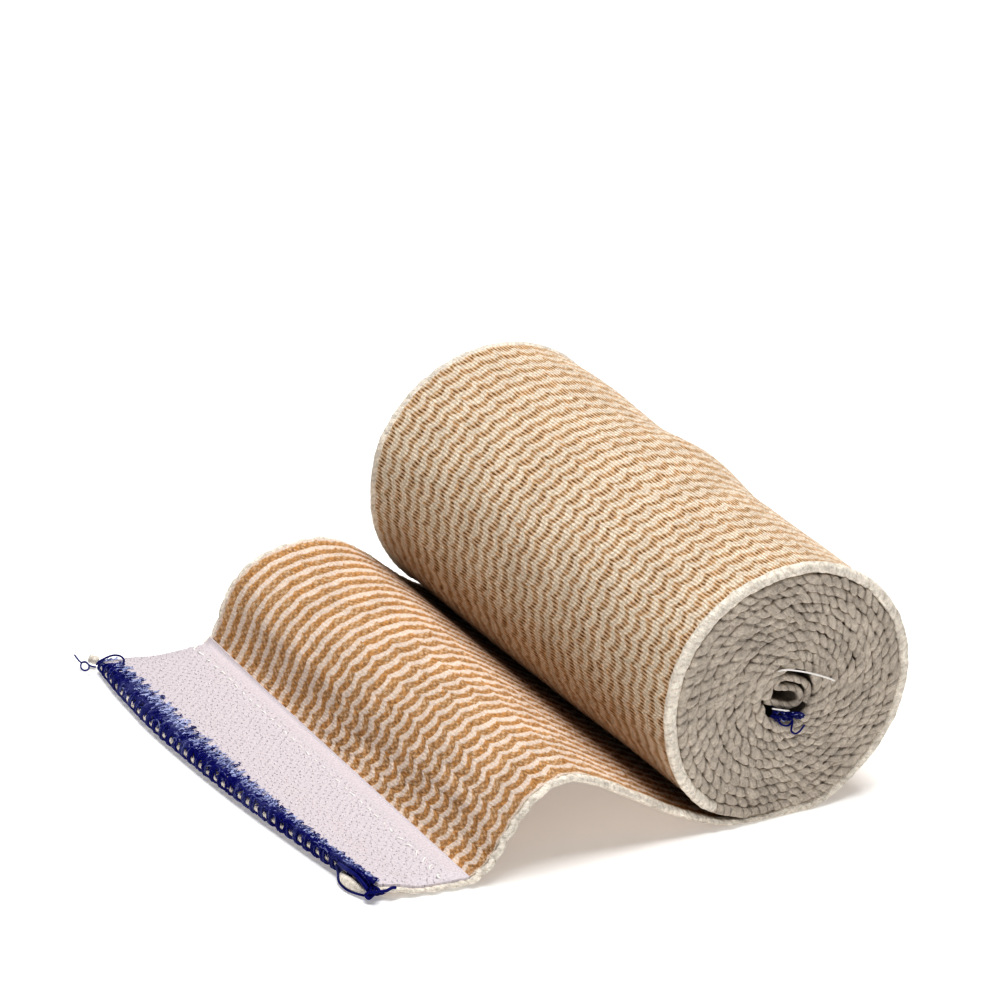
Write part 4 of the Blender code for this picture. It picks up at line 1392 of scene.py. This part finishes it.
    def cut_edge(self):
        """The cloth's raw cut edge, which shows between the bands of thread."""
        strands = Strands()
        places = np.arange(0.6 * MM, self.arc[-1] - 0.6 * MM, 0.5 * MM)
        at = self.edge_at(places)
        path = np.stack([at.x - at.out + 0.75 * MM, at.y,
                         np.maximum(at.low + 0.6 * MM, 0.85 * MM)], axis=-1)
        rough = smooth_noise(places[:, None], np.arange(3)[None, :] * MM, 0.9 * MM, 0.4 * MM, 89)
        strands.add(path + 0.1 * MM * rough, 0.72 * MM, 8, 0.5)
        lump = beside_axis(CORNER_LUMP, 6)
        swell = np.sin(np.linspace(0.25, math.pi - 0.25, len(lump)))
        strands.add(lump, 0.95 * MM * swell, 12, 0.5)
        return strands.build("cut_edge", "selvedge_cotton")

    def corner_threads(self):
        """The loose ends: an arch and a small ring at the far corner, a loop and a tail near."""
        strands = Strands()
        for points, radius in CORNER_THREADS:
            strands.add(beside_axis(points, 6), radius * MM, 7, 0.02)
        return strands.build("corner_threads", "stitch_thread")

    def corner_nub(self):
        """The cloth's turned-up far corner, which sticks out past the stitching."""
        strands = Strands()
        strands.add(beside_axis(CORNER_NUB, 4), 0.75 * MM, 12, 0.3)
        return strands.build("corner_nub", "selvedge_cotton")


# ---------------------------------------------------------------- the inner end in the core

def core_line():
    """The folded end's middle line, as x and z from the roll's axis, and its normals."""
    middle = smooth_rows(np.array(CORE_FOLD) * MM, 6)
    run = unit(np.gradient(middle, axis=0))
    return middle, np.stack([-run[:, 1], run[:, 0]], axis=-1)


def out_of_end(points_mm, side=-1.0):
    """Points given as x and z from the roll's axis and how far they stand out of the end face."""
    x, z, out = np.asarray(points_mm, dtype=float).T * MM
    return from_axis(x, side * (HALF_WIDTH + out), z)


class BANDAGE_OT_core_end(bpy.types.Operator):
    """Build the folded inner end of the cloth, its overlock and the near end's loose threads."""
    bl_idname = "bandage.core_end"
    bl_label = "Core end"

    def execute(self, context):
        cloth = context.scene.bandage_cloth
        fold = self.fold()
        edges = [self.fold_edge(*given, cloth) for given in (
            ("core_selvedge_near", -1.0, 47), ("core_selvedge_far", 1.0, 49))]
        for piece in [fold] + edges:
            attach(piece, "root")
            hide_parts("core_fold")
        overlock = self.overlock()
        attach(overlock, "root")
        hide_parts("core_stitching")
        threads = self.white_threads()
        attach(threads, "root")
        return {"FINISHED"}

    def fold(self):
        middle, normal = core_line()
        half = (CORE_CLOTH - 0.15 * MM) / 2.0
        outline = np.concatenate([middle + normal * half, (middle - normal * half)[::-1]])
        y = np.array([-1.0, -0.5, 0.0, 0.5, 1.0]) * (HALF_WIDTH - 1.7 * MM)
        points = from_axis(outline[:, 0], y[:, None], outline[:, 1])
        # The fold lies on the near end face and takes that face's painted shade, the
        # wound_selvedge colour.
        return flat_tube("core_cloth", points, "wound_selvedge")

    def fold_edge(self, name, side, seed, cloth):
        middle, normal = core_line()
        half = cloth.selvedge_width / 2.0
        centre = from_axis(middle[:, 0], side * (HALF_WIDTH - 0.6 * MM - half), middle[:, 1])
        outward = np.stack([normal[:, 0], np.zeros(len(normal)), normal[:, 1]], axis=-1)
        path = rope_path(centre, outward, side, CORE_CLOTH * 0.6, half, cloth.wound_lump, 0.16,
                         0.0)
        return rope_mesh(name, path, seed, ("wound_selvedge",))

    def overlock(self):
        """The thread at both ends of the core, the wraps along it, and the near end's loops."""
        strands = Strands()
        rng = np.random.default_rng(91)
        for side in (-1.0, 1.0):
            for k in range(90):
                middle = rng.uniform(-3.3, 2.3)
                thick = 0.6 + 1.0 * ease((2.5 - middle) / 4.5)
                height = -2.15 - 0.3 * (middle + 3.6) - thick * rng.uniform(0.0, 1.0)
                run = rng.uniform(0.8, 1.8)
                path = [(middle + run * (t - 0.5),
                         height - 0.3 * run * (t - 0.5)
                         + rng.uniform(0.1, 0.25) * math.sin(t * 7.0 + k),
                         0.35 * math.sin(math.pi * t) + rng.uniform(-0.15, 0.25))
                        for t in np.linspace(0, 1, 7)]
                strands.add(out_of_end(path, side), rng.uniform(0.09, 0.16) * MM, 5,
                            rng.choice((0.0, 0.05, 0.2, 0.8), p=(0.45, 0.25, 0.15, 0.15)))
        angle = np.radians(np.linspace(240.0, 302.0, 8))
        for y in np.arange(-47.0, 47.5, 2.5) * MM:
            path = from_axis(3.55 * MM * np.cos(angle), y + 0.8 * MM * np.sin(angle * 9.0),
                             3.55 * MM * np.sin(angle))
            strands.add(path, 0.3 * MM, 5, 0.1)
        for points in BLUE_LOOPS:
            strands.add(out_of_end(smooth_rows(points, 8)), CORE_THREAD_MM * MM, 6, 0.03)
        return strands.build("core_overlock", "stitch_thread")

    def white_threads(self):
        strands = Strands()
        for points in WHITE_THREADS:
            strands.add(out_of_end(smooth_rows(points, 8)), CORE_THREAD_MM * MM, 6, 0.8)
        return strands.build("core_white_threads", "white_thread")


# ---------------------------------------------------------------- the stage

class BANDAGE_OT_stage(bpy.types.Operator):
    """Add the floor, the soft lights and the camera."""
    bl_idname = "bandage.stage"
    bl_label = "Stage"

    def execute(self, context):
        self.floor(context)
        self.lights(context)
        self.camera(context)
        return {"FINISHED"}

    def floor(self, context):
        mesh = bpy.data.meshes.new("floor")
        corners = ((-1, -1), (1, -1), (1, 1), (-1, 1))
        mesh.from_pydata([(x * FLOOR_HALF_SIZE, y * FLOOR_HALF_SIZE, 0.0) for x, y in corners],
                         [], [(0, 1, 2, 3)])
        material = bpy.data.materials.new("pale_floor")
        material.use_nodes = True
        shader = material.node_tree.nodes["Principled BSDF"]
        for name, value in (("Base Color", (0.93, 0.93, 0.93, 1.0)), ("Roughness", 0.8),
                            ("Specular IOR Level", 0.1), ("Emission Color", (1.0, 1.0, 1.0, 1.0)),
                            ("Emission Strength", 0.2)):
            shader.inputs[name].default_value = value
        mesh.materials.append(material)
        floor = bpy.data.objects.new("floor", mesh)
        context.collection.objects.link(floor)

    def lights(self, context):
        world = bpy.data.worlds.new("studio")
        context.scene.world = world
        world.use_nodes = True
        background = world.node_tree.nodes["Background"]
        background.inputs["Color"].default_value = (1.0, 1.0, 1.0, 1.0)
        background.inputs["Strength"].default_value = 0.07
        for name, place, power in LIGHTS:
            data = bpy.data.lights.new(name, "AREA")
            data.shape = "SQUARE"
            data.size = LIGHT_SIZE
            data.energy = power
            light = bpy.data.objects.new(name, data)
            light.location = place
            towards = Vector(LIGHT_TARGET) - light.location
            light.rotation_euler = towards.to_track_quat("-Z", "Y").to_euler()
            context.collection.objects.link(light)

    def camera(self, context):
        yaw, pitch, roll = (math.radians(v) for v in (CAMERA_YAW, CAMERA_PITCH, CAMERA_ROLL))
        ahead = Vector((-math.sin(yaw) * math.cos(pitch), math.cos(yaw) * math.cos(pitch),
                        -math.sin(pitch)))
        right = Vector((math.cos(yaw), math.sin(yaw), 0.0))
        up = right.cross(ahead)
        level_right = right * math.cos(roll) + up * math.sin(roll)
        level_up = up * math.cos(roll) - right * math.sin(roll)
        data = bpy.data.cameras.new("camera")
        data.lens = CAMERA_LENS_MM
        data.sensor_width = SENSOR_MM
        data.clip_start = 0.01
        data.clip_end = 20.0
        camera = bpy.data.objects.new("camera", data)
        turned = Matrix((level_right, level_up, -ahead)).transposed().to_4x4()
        turned.translation = Vector(CAMERA_FROM_AXIS) + Vector((ROLL_AXIS_X, 0.0, 0.0))
        camera.matrix_world = turned
        context.collection.objects.link(camera)
        context.scene.camera = camera
        context.scene.view_settings.view_transform = "Standard"
        context.scene.view_settings.look = "High Contrast"


class BANDAGE_PT_panel(bpy.types.Panel):
    """Lists the bandage's builders and settings in the sidebar."""
    bl_idname = "BANDAGE_PT_panel"
    bl_label = "Crepe bandage roll"
    bl_space_type = "VIEW_3D"
    bl_region_type = "UI"
    bl_category = "Bandage"

    def draw(self, context):
        for operator in OPERATORS:
            self.layout.operator(operator.bl_idname)
        for settings in (context.scene.bandage_cloth, context.scene.bandage_edge):
            for name in settings.__annotations__:
                self.layout.prop(settings, name)


OPERATORS = (
    BANDAGE_OT_wound_turns,
    BANDAGE_OT_selvedges,
    BANDAGE_OT_loose_end,
    BANDAGE_OT_closure_strip,
    BANDAGE_OT_overlock,
    BANDAGE_OT_core_end,
    BANDAGE_OT_stage,
)
CLASSES = (BandageClothSettings, BandageEdgeSettings) + OPERATORS + (BANDAGE_PT_panel,)


def register():
    for each in CLASSES:
        bpy.utils.register_class(each)
    bpy.types.Scene.bandage_cloth = PointerProperty(type=BandageClothSettings)
    bpy.types.Scene.bandage_edge = PointerProperty(type=BandageEdgeSettings)


def unregister():
    del bpy.types.Scene.bandage_edge
    del bpy.types.Scene.bandage_cloth
    for each in reversed(CLASSES):
        bpy.utils.unregister_class(each)


def main():
    """Build every piece in order."""
    register()
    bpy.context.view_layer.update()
    build_weave_cells_group()
    build_yarn_fuzz_group()
    bpy.ops.bandage.wound_turns()
    bpy.ops.bandage.selvedges()
    bpy.ops.bandage.loose_end()
    bpy.ops.bandage.closure_strip()
    bpy.ops.bandage.overlock()
    bpy.ops.bandage.core_end()
    bpy.ops.bandage.stage()


if __name__ == "__main__":
    main()
